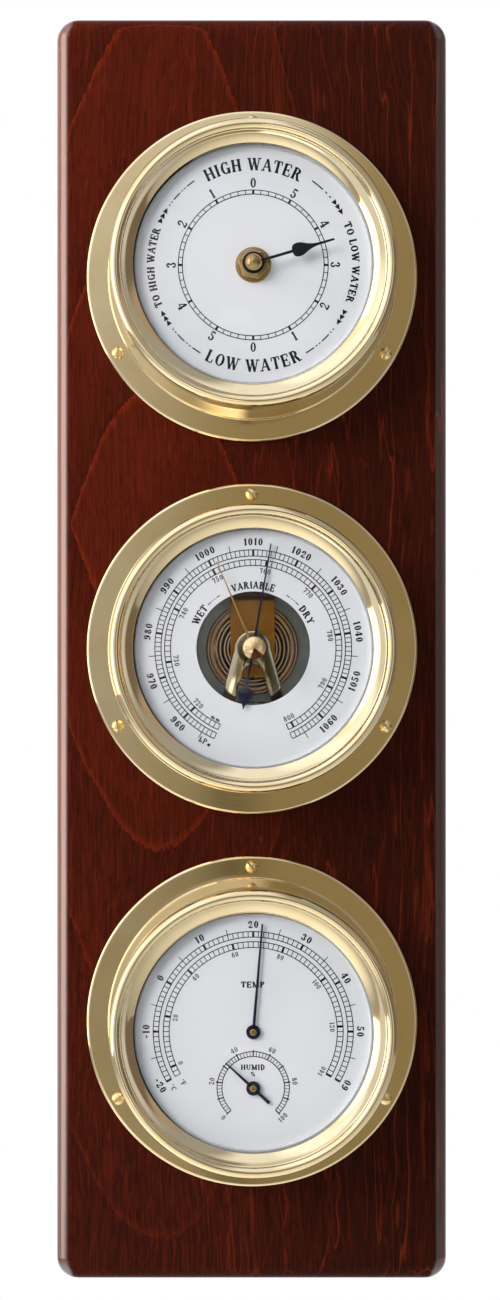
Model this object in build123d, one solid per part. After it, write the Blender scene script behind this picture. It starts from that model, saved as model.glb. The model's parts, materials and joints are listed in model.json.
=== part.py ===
from build123d import *
import math
import os

# Wall weather station: a wooden board carrying three ship's instruments in brass cases.
# From the top: a tide clock, an aneroid barometer, and a thermometer with a hygrometer subdial.
# Lengths are in millimetres. The origin is the centre of the hanger's keyhole on the wall plane,
# +Z is up and the dials face -Y. Each instrument is drawn lying on its back about a local Z axis,
# with local Y towards the top of the dial and heights counted from the front of the board.

os.makedirs("parts", exist_ok=True)

# Fits shared by all pieces
OVERRUN = 2.0
RUNNING_CLEARANCE = 0.05
SEAT_CLEARANCE = 0.1
MOVING_CLEARANCE = 0.4

# Brass ship's case, the same for all three instruments
CASE_DIAMETER = 86.8
CASE_WALL = 1.4
CASE_DEPTH = 23.2
CASE_FLARE = 2.0
CASE_COLLAR_LENGTH = 3.0
FLANGE_WIDTH = 7.1
FLANGE_THICKNESS = 2.0
FLANGE_RIM_ROUND = 0.9
DIAL_THICKNESS = 0.8
DIAL_EDGE_INSET = 0.4
GASKET_HEIGHT = 1.6
GASKET_WIDTH = 6.8
GLASS_THICKNESS = 1.5
GLASS_DOME_RISE = 8.4
BEZEL_SKIRT_WALL = 0.7
BEZEL_LIP_WIDTH = 6.1
BEZEL_LIP_THICKNESS = 1.2
BEZEL_BAND_RISE = 1.4
BEZEL_GROOVE_INSET = 2.7
BEZEL_BEAD_RADIUS = 1.8
BEZEL_BEAD_HEIGHT = 1.3
BEZEL_BAND_HOLLOW = 0.2
CASE_SCREW_COUNT = 3
CASE_SCREW_HEAD_DIAMETER = 4.0
CASE_SCREW_HEAD_HEIGHT = 1.3
CASE_SCREW_SHANK_DIAMETER = 2.0
CASE_SCREW_SHANK_LENGTH = 12.0
CASE_SCREW_SLOT_WIDTH = 0.6
CASE_SCREW_SLOT_DEPTH = 0.6
CASE_SCREW_FIRST_ANGLE = 90.0
CASE_SCREW_SLOT_ANGLES = (24.0, 78.0, 140.0)

# Wooden board and its hanger
INSTRUMENT_GAP = 13.0
BOARD_SIDE_MARGIN = 9.5
BOARD_END_MARGIN = 30.0
BOARD_THICKNESS = 18.0
BOARD_CORNER_RADIUS = 6.8
BOARD_EDGE_ROUND = 4.5
ACCESS_HOLE_MARGIN = 5.8
HANGER_DROP = 20.0
HANGER_WIDTH = 64.0
HANGER_ABOVE = 14.0
HANGER_BELOW = 10.0
HANGER_THICKNESS = 1.5
HANGER_CORNER_RADIUS = 4.0
KEYHOLE_DIAMETER = 9.0
KEYHOLE_SLOT_WIDTH = 4.4
KEYHOLE_SLOT_RISE = 8.0
HANGER_POCKET_DEPTH = 11.0
HANGER_LEDGE = 1.5
HANGER_SCREW_INSET = 6.0
HANGER_SCREW_WALL = 6.0
HANGER_SCREW_HEAD_DIAMETER = 5.6
HANGER_SCREW_SHANK_DIAMETER = 2.8
HANGER_SCREW_LENGTH = 12.0
HANGER_SCREW_SLOT_WIDTH = 0.8
HANGER_SCREW_SLOT_DEPTH = 0.7

# Tide clock: quartz movement hung from the dial by a threaded bush
BATTERY_LENGTH = 50.5
BATTERY_DIAMETER = 14.5
BATTERY_NUB_LENGTH = 1.2
BATTERY_NUB_DIAMETER = 5.5
BAY_CLEARANCE = 0.3
CONTACT_THICKNESS = 0.4
CONTACT_DIMPLE = 0.4
CONTACT_DIMPLE_DIAMETER = 4.0
CONTACT_WIDTH = 8.0
CONTACT_GAP = 0.25
MOVEMENT_WALL = 1.7
MOVEMENT_FRONT_WALL = 1.2
MOVEMENT_TOP_ROOM = 9.0
COVER_THICKNESS = 1.2
COVER_POST_DIAMETER = 4.0
GEAR_MODULE = 0.25
WHEEL_TEETH = 48
PINION_TEETH = 12
WHEEL_THICKNESS = 1.5
PINION_OVERLAP = 0.5
GEAR_ROOM = 0.6
TOOTH_TIP_SHARE = 0.16
TOOTH_ROOT_SHARE = 0.5
TOOTH_HEIGHT_SHARE = 0.85
TOOTH_DEPTH_SHARE = 1.25
BUSH_DIAMETER = 6.4
BUSH_FLANGE_DIAMETER = 10.0
BUSH_FLANGE_THICKNESS = 1.2
BUSH_STAND_OUT = 3.6
WHEEL_BELOW_BUSH = 2.3
HAND_ARBOR_DIAMETER = 3.0
HAND_SEAT_DIAMETER = 2.0
HAND_ABOVE_BUSH = 0.7
FIXING_WASHER_DIAMETER = 11.0
FIXING_WASHER_THICKNESS = 0.6
FIXING_NUT_CORNERS = 9.7
FIXING_NUT_HEIGHT = 2.2
TIDE_HAND_THICKNESS = 0.6
TIDE_HAND_TIP_MARGIN = 11.2
TIDE_HAND_STEM_WIDTH = 0.6
TIDE_HAND_HUB_DIAMETER = 6.8
TIDE_HAND_BLADE_WIDTH = 4.2
TIDE_HAND_TIP_LENGTH = 4.0
TIDE_HAND_BLADE_LENGTH = 9.0
TIDE_HAND_BLADE_BELLY = 1.9
TIDE_HAND_ANGLE = 73.8
HAND_CAP_DIAMETER = 5.2
HAND_CAP_HEIGHT = 3.0
HAND_CAP_SOCKET = 0.8
SETTING_KNOB_DIAMETER = 8.0
SETTING_KNOB_HEIGHT = 2.4
SETTING_SHAFT_DIAMETER = 2.0
SETTING_SOCKET_DEPTH = 0.5
SETTING_ANGLE = 90.0
MOTOR_SIZE = 11.0
MOTOR_SHAFT_DIAMETER = 1.2
MOTOR_ANGLE = 180.0
MOTOR_GAP = 1.2

# Aneroid barometer: capsule, C spring, bridge and chain drive
DIAL_OPENING_DIAMETER = 34.9
BASE_PLATE_THICKNESS = 1.2
BASE_PLATE_OVERHANG = 1.5
CAPSULE_DIAMETER = 29.0
CAPSULE_STAND = 2.8
CAPSULE_STAND_DIAMETER = 6.0
CAPSULE_RIPPLES = 3
CAPSULE_RIPPLE_HEIGHT = 0.5
CAPSULE_POST_DIAMETER = 3.0
CAPSULE_POST_HEIGHT = 3.0
CAPSULE_NECK_DIAMETER = 1.8
CAPSULE_NECK_STAND_OUT = 0.4
SPRING_STRAP_WIDTH = 13.7
SPRING_STRAP_THICKNESS = 0.8
SPRING_BEND_RADIUS = 3.0
SPRING_BACK_GAP = 2.4
SPRING_FREE_LENGTH = 9.0
SPRING_FOOT_REACH = 8.0
SPRING_TAIL_REACH = 8.1
BRIDGE_THICKNESS = 1.2
BRIDGE_DIAL_ROOM = 3.0
BRIDGE_HEAD_WIDTH = 10.9
BRIDGE_LEG_WIDTH = 3.8
BRIDGE_ARCH_DROP = 4.8
BRIDGE_ARCH_RADIUS = 3.4
BRIDGE_FOOT_SPREAD = 9.5
BRIDGE_FOOT_GAP = 0.9
BRIDGE_PILLAR_DIAMETER = 4.4
BRIDGE_SCREW_HEAD_DIAMETER = 3.6
BRIDGE_SCREW_HEAD_HEIGHT = 1.0
BRIDGE_SCREW_SHANK_DIAMETER = 2.0
BRIDGE_SCREW_LENGTH = 5.0
COCK_DROP = 2.9
COCK_GAP = 0.8
COCK_THICKNESS = 0.6
COCK_WIDTH = 3.0
COCK_POST_DIAMETER = 1.4
POINTER_ARBOR_DIAMETER = 1.0
DRUM_DIAMETER = 1.2
DRUM_HEIGHT = 1.0
DRUM_GAP = 0.25
POINTER_CLEAR_HEIGHT = 1.2
POINTER_THICKNESS = 0.4
COLLET_DIAMETER = 3.2
COLLET_HEIGHT = 1.4
BARO_POINTER_TIP_MARGIN = 4.4
BARO_POINTER_TAIL = 19.0
BARO_POINTER_ROOT_WIDTH = 1.1
BARO_POINTER_TIP_WIDTH = 0.4
BARO_POINTER_HUB_DIAMETER = 4.0
BARO_POINTER_SPADE_WIDTH = 4.2
BARO_POINTER_SPADE_LENGTH = 6.8
BARO_POINTER_ANGLE = 9.6
HAIRSPRING_INNER_RADIUS = 1.3
HAIRSPRING_HALF_TURNS = 7
HAIRSPRING_WIRE = 0.2
HAIRSPRING_HEIGHT = 0.5
HAIRSPRING_COLLET_GAP = 0.1
ROCKER_SHAFT_DIAMETER = 1.8
ROCKER_HEIGHT = 7.0
ROCKER_BACK_GAP = 2.1
ROCKER_SPAN = 20.0
ROCKER_SHAFT_STAND_OUT = 2.0
ROCKER_ARM_WIDTH = 1.2
ROCKER_ARM_DEPTH = 1.0
ROCKER_SIDE_ARM_OFFSET = 3.6
ROCKER_BEARING_WIDTH = 2.0
ROCKER_BEARING_DEPTH = 3.2
ROCKER_BEARING_TOP = 2.0
LEVER_WIDTH = 2.2
LEVER_THICKNESS = 0.8
LEVER_ROOT = 5.0
CHAIN_DIAMETER = 0.4
CHAIN_TAIL = 1.0
CHAIN_GAP = 0.15
SET_KNOB_DIAMETER = 7.0
SET_KNOB_HEIGHT = 5.0
SET_KNOB_ROUND = 0.4
SET_KNOB_CONE_HEIGHT = 1.1
SET_STEM_DIAMETER = 1.6
SET_BUSH_DIAMETER = 4.8
SET_BUSH_FLANGE_DIAMETER = 6.4
SET_BUSH_FLANGE_THICKNESS = 0.5
SET_BUSH_INNER_REACH = 0.8
SET_HAND_CLEAR_HEIGHT = 3.4
SET_HAND_THICKNESS = 0.3
SET_HAND_TIP_MARGIN = 8.1
SET_HAND_ROOT_WIDTH = 1.3
SET_HAND_TIP_WIDTH = 0.5
SET_HAND_HUB_DIAMETER = 4.6
SET_HAND_ANGLE = -23.0
ADJUST_SCREW_DIAMETER = 3.0
ADJUST_HEAD_DIAMETER = 7.0
ADJUST_HEAD_THICKNESS = 2.5
ADJUST_SLOT_WIDTH = 1.0
ADJUST_SLOT_DEPTH = 1.0

# Thermometer and hygrometer: two coils on one frame behind the dial
COIL_SPACING = 1.95
FRAME_DROP = 14.2
FRAME_THICKNESS = 1.0
FRAME_HALF_WIDTH = 14.0
FRAME_ABOVE = 13.0
FRAME_BELOW = 10.0
FRAME_PILLAR_DIAMETER = 3.0
FRAME_PILLAR_INSET = 2.0
COIL_STUD_DIAMETER = 1.6
COIL_HEIGHT = 3.0
COIL_BELOW_DIAL = 6.0
COIL_WIRE = 0.4
THERMO_COIL_INNER_RADIUS = 2.5
THERMO_COIL_OUTER_RADIUS = 9.7
THERMO_COIL_HALF_TURNS = 12
HYGRO_COIL_INNER_RADIUS = 2.0
HYGRO_COIL_OUTER_RADIUS = 5.6
HYGRO_COIL_HALF_TURNS = 6
COIL_HUB_GAP = 0.15
ARBOR_DIAMETER = 1.6
ARBOR_DIAL_CLEARANCE = 0.4
NEEDLE_CLEAR_HEIGHT = 1.0
NEEDLE_THICKNESS = 0.4
NEEDLE_EYELET_RISE = 0.5
THERMO_NEEDLE_TIP_MARGIN = 3.7
THERMO_NEEDLE_ROOT_WIDTH = 0.8
THERMO_NEEDLE_TIP_WIDTH = 0.4
THERMO_NEEDLE_HUB_DIAMETER = 4.4
THERMO_NEEDLE_ANGLE = 4.8
HYGRO_NEEDLE_LENGTH = 11.5
HYGRO_NEEDLE_TAIL = 6.7
HYGRO_NEEDLE_ROOT_WIDTH = 0.8
HYGRO_NEEDLE_TIP_WIDTH = 0.4
HYGRO_NEEDLE_TAIL_WIDTH = 1.2
HYGRO_NEEDLE_HUB_DIAMETER = 4.5
HYGRO_NEEDLE_ANGLE = -47.5


def around(centre_x, centre_y, radius, angle):
    """Point at a radius and angle from a centre."""
    turn = math.radians(angle)
    return centre_x + radius * math.cos(turn), centre_y + radius * math.sin(turn)


# Case
CASE_RADIUS = CASE_DIAMETER / 2
CASE_INNER_RADIUS = CASE_RADIUS - CASE_WALL
CASE_FOOT_RADIUS = CASE_RADIUS + CASE_FLARE
CASE_SHOULDER = CASE_DEPTH - CASE_COLLAR_LENGTH
FLANGE_RADIUS = CASE_FOOT_RADIUS + FLANGE_WIDTH
CASE_SCREW_CIRCLE_RADIUS = CASE_FOOT_RADIUS + FLANGE_WIDTH / 2
BEZEL_SKIRT_RADIUS = CASE_RADIUS + SEAT_CLEARANCE + BEZEL_SKIRT_WALL
DIAL_RADIUS = CASE_RADIUS - DIAL_EDGE_INSET
DIAL_FACE = CASE_DEPTH + DIAL_THICKNESS
GLASS_SEAT = DIAL_FACE + GASKET_HEIGHT
GLASS_RIM_TOP = GLASS_SEAT + GLASS_THICKNESS
GLASS_APEX = GLASS_RIM_TOP + GLASS_DOME_RISE
BEZEL_OPENING_RADIUS = DIAL_RADIUS - BEZEL_LIP_WIDTH
GLASS_DOME_RADIUS = BEZEL_OPENING_RADIUS - MOVING_CLEARANCE

# Barometer stack, from the dial down to the capsule on its base plate
BRIDGE_TOP = CASE_DEPTH - BRIDGE_DIAL_ROOM - BRIDGE_SCREW_HEAD_HEIGHT
BRIDGE_HEIGHT = BRIDGE_TOP - BRIDGE_THICKNESS
COCK_TOP = BRIDGE_HEIGHT - COCK_DROP
COCK_LOW = COCK_TOP - COCK_THICKNESS
STRAP_TOP = COCK_LOW - COCK_GAP - CAPSULE_NECK_STAND_OUT
STRAP_LOW = STRAP_TOP - SPRING_STRAP_THICKNESS
CAPSULE_RADIUS = CAPSULE_DIAMETER / 2
CAPSULE_LOW = BASE_PLATE_THICKNESS + CAPSULE_STAND
CAPSULE_TOP = STRAP_LOW - CAPSULE_POST_HEIGHT
SPRING_BACK = CAPSULE_RADIUS + SPRING_BACK_GAP
COCK_POST_PLACE = BRIDGE_HEAD_WIDTH / 2 - COCK_POST_DIAMETER / 2
DRUM_LOW = COCK_TOP + DRUM_GAP
DRUM_TOP = DRUM_LOW + DRUM_HEIGHT
CHAIN_HEIGHT = (DRUM_LOW + DRUM_TOP) / 2
CHAIN_OFFSET = DRUM_DIAMETER / 2 + CHAIN_GAP + CHAIN_DIAMETER / 2
ROCKER_PLACE = -(CAPSULE_RADIUS + ROCKER_BACK_GAP + ROCKER_SHAFT_DIAMETER / 2)
BRIDGE_FOOT_PLACE = ROCKER_PLACE - ROCKER_BEARING_DEPTH / 2 - BRIDGE_FOOT_GAP - BRIDGE_PILLAR_DIAMETER / 2
BRIDGE_FEET = [(side * BRIDGE_FOOT_SPREAD, BRIDGE_FOOT_PLACE) for side in (-1, 1)]

# Clock movement and its hand
MOVEMENT_DEPTH = BATTERY_DIAMETER + BAY_CLEARANCE + MOVEMENT_FRONT_WALL
MOVEMENT_REAR = CASE_DEPTH - MOVEMENT_DEPTH
CHAMBER_FRONT = CASE_DEPTH - MOVEMENT_FRONT_WALL
COVER_INNER = MOVEMENT_REAR + COVER_THICKNESS
BAY_HALF_LENGTH = BATTERY_LENGTH / 2 + CONTACT_GAP + CONTACT_DIMPLE + CONTACT_THICKNESS
WHEEL_RADIUS = GEAR_MODULE * WHEEL_TEETH / 2
PINION_RADIUS = GEAR_MODULE * PINION_TEETH / 2
GEAR_DISTANCE = WHEEL_RADIUS + PINION_RADIUS
WHEEL_TIP = WHEEL_RADIUS + GEAR_MODULE
CHAMBER_LOW = -(WHEEL_TIP + GEAR_ROOM)
CHAMBER_HIGH = WHEEL_TIP + 2 * PINION_RADIUS + GEAR_ROOM + MOVEMENT_TOP_ROOM
BAY_HIGH = CHAMBER_LOW - MOVEMENT_FRONT_WALL
BAY_LOW = BAY_HIGH - BATTERY_DIAMETER - 2 * BAY_CLEARANCE
BATTERY_PLACE = (BAY_HIGH + BAY_LOW) / 2
BATTERY_HEIGHT = CHAMBER_FRONT - BAY_CLEARANCE / 2 - BATTERY_DIAMETER / 2
BUSH_TOP = DIAL_FACE + BUSH_STAND_OUT
BUSH_LOW = CHAMBER_FRONT - BUSH_FLANGE_THICKNESS
WHEEL_TOP = BUSH_LOW - WHEEL_BELOW_BUSH
WHEEL_LOW = WHEEL_TOP - WHEEL_THICKNESS
PINION_LOW = WHEEL_LOW - PINION_OVERLAP
PINION_TOP = WHEEL_TOP + PINION_OVERLAP
HAND_LOW = BUSH_TOP + HAND_ABOVE_BUSH
HAND_TOP = HAND_LOW + TIDE_HAND_THICKNESS
MOTOR_PLACE = around(0, 0, GEAR_DISTANCE, MOTOR_ANGLE)
SETTING_PLACE = around(0, 0, GEAR_DISTANCE, SETTING_ANGLE)
HAND_CAP_TOP = HAND_TOP + HAND_CAP_HEIGHT
TIDE_HAND_LENGTH = BEZEL_OPENING_RADIUS - TIDE_HAND_TIP_MARGIN

# Barometer pointer and set hand above the dial
POINTER_LOW = DIAL_FACE + POINTER_CLEAR_HEIGHT
POINTER_TOP = POINTER_LOW + POINTER_THICKNESS
SET_HAND_LOW = DIAL_FACE + SET_HAND_CLEAR_HEIGHT
SET_KNOB_LOW = GLASS_APEX + SET_BUSH_FLANGE_THICKNESS + SEAT_CLEARANCE
BARO_POINTER_LENGTH = BEZEL_OPENING_RADIUS - BARO_POINTER_TIP_MARGIN
SET_HAND_LENGTH = BEZEL_OPENING_RADIUS - SET_HAND_TIP_MARGIN

# Thermometer and hygrometer
FRAME_LOW = CASE_DEPTH - FRAME_DROP
FRAME_TOP = FRAME_LOW + FRAME_THICKNESS
COIL_TOP = CASE_DEPTH - COIL_BELOW_DIAL
COIL_LOW = COIL_TOP - COIL_HEIGHT
NEEDLE_LOW = DIAL_FACE + NEEDLE_CLEAR_HEIGHT
NEEDLE_TOP = NEEDLE_LOW + NEEDLE_THICKNESS
HYGRO_DROP = THERMO_COIL_OUTER_RADIUS + HYGRO_COIL_OUTER_RADIUS + COIL_SPACING
THERMO_NEEDLE_LENGTH = BEZEL_OPENING_RADIUS - THERMO_NEEDLE_TIP_MARGIN

# Board
INSTRUMENT_PITCH = 2 * FLANGE_RADIUS + INSTRUMENT_GAP
BOARD_WIDTH = 2 * FLANGE_RADIUS + 2 * BOARD_SIDE_MARGIN
BOARD_HEIGHT = 2 * INSTRUMENT_PITCH + 2 * FLANGE_RADIUS + 2 * BOARD_END_MARGIN
BOARD_CENTRE = HANGER_DROP - BOARD_HEIGHT / 2
BARO_CENTRE = BOARD_CENTRE
TIDE_CENTRE = BOARD_CENTRE + INSTRUMENT_PITCH
THERMO_CENTRE = BOARD_CENTRE - INSTRUMENT_PITCH
ACCESS_HOLE_RADIUS = CASE_INNER_RADIUS - ACCESS_HOLE_MARGIN
HANGER_SCREW_OFFSET = HANGER_WIDTH / 2 - HANGER_SCREW_INSET
HANGER_POCKET_WIDTH = 2 * (HANGER_SCREW_OFFSET - HANGER_SCREW_WALL)
HANGER_POCKET_HEIGHT = HANGER_ABOVE + HANGER_BELOW - 2 * HANGER_LEDGE

UP = (Align.CENTER, Align.CENTER, Align.MIN)


def rod(diameter, low, high, x=0, y=0):
    """Upright round bar between two heights."""
    return Pos(x, y, low) * Cylinder(diameter / 2, high - low, align=UP)


def ring(outer_radius, inner_radius, low, high):
    """Flat ring between two heights."""
    return rod(2 * outer_radius, low, high) - rod(2 * inner_radius, low - OVERRUN, high + OVERRUN)


def block(x_low, x_high, y_low, y_high, low, high):
    """Box between six limits."""
    middle = ((x_low + x_high) / 2, (y_low + y_high) / 2, low)
    return Pos(*middle) * Box(x_high - x_low, y_high - y_low, high - low, align=UP)


def turned(*edges):
    """Solid of revolution about local Z; the edges are drawn in radius and height."""
    return revolve(Plane.XZ * make_face(list(edges)), Axis.Z)


def cross_rod(diameter, x_low, x_high, y, height):
    """Round bar lying along local X."""
    bar = Cylinder(diameter / 2, x_high - x_low, align=UP)
    return Pos(x_low, y, height) * Rot(0, 90, 0) * bar


def dial_turn(angle):
    """Rotation that carries the top of the dial clockwise by an angle."""
    return Rot(0, 0, -angle)


def spiral_strip(inner_radius, outer_radius, half_turns, wire, low, high):
    """Flat strip wound in half circles about two centres, so that every turn gains one pitch."""
    pitch = 2 * (outer_radius - inner_radius) / half_turns
    edges = []
    middles = []
    sides = []
    for side in (-wire / 2, wire / 2):
        run = []
        for index in range(half_turns):
            radius = inner_radius + pitch / 4 + index * pitch / 2
            centre = -pitch / 4 if index % 2 == 0 else pitch / 4
            start = 0 if index % 2 == 0 else 180
            run.append(CenterArc((centre, 0), radius + side, start, 180))
            if side > 0:
                middles += [around(centre, 0, radius, start + step) for step in range(0, 180, 5)]
        edges += run
        sides.append(run)
    for end in (0, 1):
        first = sides[0][-end] @ end
        second = sides[1][-end] @ end
        edges.append(Line(first, second))
    turn_points = len(range(0, 360, 5))
    gap = min(
        math.dist(middles[index], middles[other])
        for index in range(len(middles) - turn_points)
        for other in range(index + turn_points // 2, len(middles))
    )
    print(f"spiral of {half_turns / 2} turns, least gap {gap - wire:.2f}")
    end_point = sides[1][-1] @ 1
    strip = extrude(make_face(edges), high - low)
    return Pos(0, 0, low) * strip, end_point


def gear(teeth, low, high):
    """Spur gear of straight-flanked teeth with generous backlash, one tooth on local +X."""
    pitch_radius = GEAR_MODULE * teeth / 2
    tip = pitch_radius + GEAR_MODULE * TOOTH_HEIGHT_SHARE
    root = pitch_radius - GEAR_MODULE * TOOTH_DEPTH_SHARE
    step = 360 / teeth
    outline = []
    for tooth in range(teeth):
        for radius, share in ((root, -TOOTH_ROOT_SHARE), (tip, -TOOTH_TIP_SHARE),
                              (tip, TOOTH_TIP_SHARE), (root, TOOTH_ROOT_SHARE)):
            outline.append(around(0, 0, radius, step * (tooth + share / 2)))
    return Pos(0, 0, low) * extrude(make_face(Polyline(*outline, close=True)), high - low)


def blade(root_width, tip_width, length):
    """Tapered hand along local +Y, from the pivot to its tip."""
    half_root = root_width / 2
    half_tip = tip_width / 2
    return make_face(Polyline((-half_root, 0), (half_root, 0), (half_tip, length), (-half_tip, length),
                              close=True))


def slotted(head, width, depth, top, reach, x, y, angle):
    """Screwdriver slot cut into the top of a head."""
    slot = Box(2 * reach, width, depth + OVERRUN, align=UP)
    return head - Pos(x, y, top - depth) * Rot(0, 0, angle) * slot


# Shared case

def case_screw_places():
    """Places of the flange screws on the flange."""
    step = 360 / CASE_SCREW_COUNT
    return [around(0, 0, CASE_SCREW_CIRCLE_RADIUS, CASE_SCREW_FIRST_ANGLE + step * index)
            for index in range(CASE_SCREW_COUNT)]


def instrument_case(rebate_depth):
    """Brass case, open at the back: screw flange, tapered wall and a collar for the bezel."""
    round_start = FLANGE_RADIUS - FLANGE_RIM_ROUND
    round_height = FLANGE_THICKNESS - FLANGE_RIM_ROUND
    body = turned(
        Line((CASE_INNER_RADIUS, 0), (FLANGE_RADIUS, 0)),
        Line((FLANGE_RADIUS, 0), (FLANGE_RADIUS, round_height)),
        CenterArc((round_start, round_height), FLANGE_RIM_ROUND, 0, 90),
        Line((round_start, FLANGE_THICKNESS), (CASE_FOOT_RADIUS, FLANGE_THICKNESS)),
        Line((CASE_FOOT_RADIUS, FLANGE_THICKNESS), (BEZEL_SKIRT_RADIUS, CASE_SHOULDER)),
        Line((BEZEL_SKIRT_RADIUS, CASE_SHOULDER), (CASE_RADIUS, CASE_SHOULDER)),
        Line((CASE_RADIUS, CASE_SHOULDER), (CASE_RADIUS, CASE_DEPTH)),
        Line((CASE_RADIUS, CASE_DEPTH), (CASE_INNER_RADIUS, CASE_DEPTH)),
        Line((CASE_INNER_RADIUS, CASE_DEPTH), (CASE_INNER_RADIUS, 0)),
    )
    hole = CASE_SCREW_SHANK_DIAMETER + 2 * SEAT_CLEARANCE
    for x, y in case_screw_places():
        body -= rod(hole, -OVERRUN, FLANGE_THICKNESS + OVERRUN, x, y)
    if rebate_depth > 0:
        rebate = CASE_INNER_RADIUS + BASE_PLATE_OVERHANG
        body -= rod(2 * rebate, -OVERRUN, rebate_depth)
    return body


def case_screws():
    """Round-head slotted wood screws that hold the flange to the board."""
    screws = []
    top = FLANGE_THICKNESS + CASE_SCREW_HEAD_HEIGHT
    head_radius = CASE_SCREW_HEAD_DIAMETER / 2
    dome = (head_radius ** 2 + CASE_SCREW_HEAD_HEIGHT ** 2) / (2 * CASE_SCREW_HEAD_HEIGHT)
    for (x, y), angle in zip(case_screw_places(), CASE_SCREW_SLOT_ANGLES):
        head = Pos(x, y, top - dome) * Sphere(dome)
        head &= rod(2 * CASE_SCREW_HEAD_DIAMETER, FLANGE_THICKNESS, top + OVERRUN, x, y)
        head = slotted(head, CASE_SCREW_SLOT_WIDTH, CASE_SCREW_SLOT_DEPTH, top,
                       CASE_SCREW_HEAD_DIAMETER, x, y, angle)
        shank = FLANGE_THICKNESS - CASE_SCREW_SHANK_LENGTH
        screws.append(head + rod(CASE_SCREW_SHANK_DIAMETER, shank, FLANGE_THICKNESS, x, y))
    return Compound(children=screws)


def bezel():
    """Spun bezel ring: skirt over the case collar, rounded bead, groove and sloping inner band."""
    skirt_inner = CASE_RADIUS + SEAT_CLEARANCE
    skirt_outer = BEZEL_SKIRT_RADIUS
    low = CASE_SHOULDER + SEAT_CLEARANCE
    lip = GLASS_RIM_TOP + BEZEL_LIP_THICKNESS
    groove = skirt_outer - BEZEL_GROOVE_INSET - BEZEL_SKIRT_WALL
    groove_height = lip + BEZEL_BAND_RISE
    crest = skirt_outer - BEZEL_BEAD_RADIUS
    crest_height = groove_height + BEZEL_BEAD_HEIGHT
    shoulder = crest_height - BEZEL_BEAD_RADIUS
    band_middle = ((groove + BEZEL_OPENING_RADIUS) / 2, (groove_height + lip) / 2 - BEZEL_BAND_HOLLOW)
    return turned(
        Line((skirt_inner, low), (skirt_outer, low)),
        Line((skirt_outer, low), (skirt_outer, shoulder)),
        CenterArc((crest, shoulder), BEZEL_BEAD_RADIUS, 0, 90),
        Line((crest, crest_height), (groove, groove_height)),
        ThreePointArc((groove, groove_height), band_middle, (BEZEL_OPENING_RADIUS, lip)),
        Line((BEZEL_OPENING_RADIUS, lip), (BEZEL_OPENING_RADIUS, GLASS_RIM_TOP)),
        Line((BEZEL_OPENING_RADIUS, GLASS_RIM_TOP), (skirt_inner, GLASS_RIM_TOP)),
        Line((skirt_inner, GLASS_RIM_TOP), (skirt_inner, low)),
    )


def dome_sphere():
    """Radius and centre height of the outer face of the glass."""
    radius = (GLASS_DOME_RADIUS ** 2 + GLASS_DOME_RISE ** 2) / (2 * GLASS_DOME_RISE)
    return radius, GLASS_APEX - radius


def glass(hole_diameter):
    """Domed watch glass with a flat rim under the bezel."""
    radius, centre = dome_sphere()
    shell = Pos(0, 0, centre) * (Sphere(radius) - Sphere(radius - GLASS_THICKNESS))
    shell &= rod(2 * GLASS_DOME_RADIUS, GLASS_SEAT, GLASS_APEX + OVERRUN)
    inner_rise = GLASS_SEAT - centre
    inner_edge = math.sqrt((radius - GLASS_THICKNESS) ** 2 - inner_rise ** 2)
    body = shell + ring(DIAL_RADIUS, inner_edge, GLASS_SEAT, GLASS_RIM_TOP)
    body -= Pos(0, 0, centre) * Sphere(radius - GLASS_THICKNESS)
    if hole_diameter > 0:
        body -= rod(hole_diameter, GLASS_SEAT, GLASS_APEX + OVERRUN)
    return body


def gasket():
    """Spacer ring between the dial and the glass."""
    return ring(DIAL_RADIUS, DIAL_RADIUS - GASKET_WIDTH, DIAL_FACE, GLASS_SEAT)


def dial(holes):
    """White dial plate resting on the case wall; holes are diameter, x and y."""
    plate = rod(2 * DIAL_RADIUS, CASE_DEPTH, DIAL_FACE)
    for diameter, x, y in holes:
        plate -= rod(diameter, CASE_DEPTH - OVERRUN, DIAL_FACE + OVERRUN, x, y)
    return plate


# Board and hanger, drawn directly in the frame of the part

def board_hole(diameter, x, z, depth):
    """Cylinder that bores the board from its front face."""
    bore = Cylinder(diameter / 2, depth + OVERRUN, align=UP)
    return Pos(x, depth - BOARD_THICKNESS, z) * Rot(90, 0, 0) * bore


def keyhole(slot_width, round_diameter, rise, near, far):
    """Keyhole-shaped cutter between two depths behind the wall plane."""
    outline = Circle(round_diameter / 2) + Pos(0, rise) * Circle(slot_width / 2)
    outline += Pos(0, rise / 2) * Rectangle(slot_width, rise)
    return Pos(0, -near, 0) * Rot(90, 0, 0) * extrude(outline, far - near)


def hanger_outline(grow):
    """Outline of the hanger plate, grown on every side."""
    height = HANGER_ABOVE + HANGER_BELOW + 2 * grow
    face = RectangleRounded(HANGER_WIDTH + 2 * grow, height, HANGER_CORNER_RADIUS + grow)
    return Pos(0, (HANGER_ABOVE - HANGER_BELOW) / 2) * face


def hanger_plate():
    """Flush steel plate with the keyhole that hangs on a wall screw."""
    plate = Rot(90, 0, 0) * extrude(hanger_outline(0), HANGER_THICKNESS)
    plate -= keyhole(KEYHOLE_SLOT_WIDTH, KEYHOLE_DIAMETER, KEYHOLE_SLOT_RISE,
                     -OVERRUN, HANGER_THICKNESS + OVERRUN)
    for side in (-1, 1):
        plate -= hanger_screw_cutter(side)
    return plate


def hanger_screw_shape(side, grow):
    """Countersunk screw of the hanger, its flat head flush with the wall plane."""
    head = (HANGER_SCREW_HEAD_DIAMETER / 2) + grow
    shank = HANGER_SCREW_SHANK_DIAMETER / 2 + grow
    cone = Cone(head, shank, HANGER_THICKNESS, align=UP)
    cone += rod(2 * shank, 0, HANGER_SCREW_LENGTH)
    return Pos(side * HANGER_SCREW_OFFSET, 0, 0) * Rot(90, 0, 0) * cone


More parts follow.
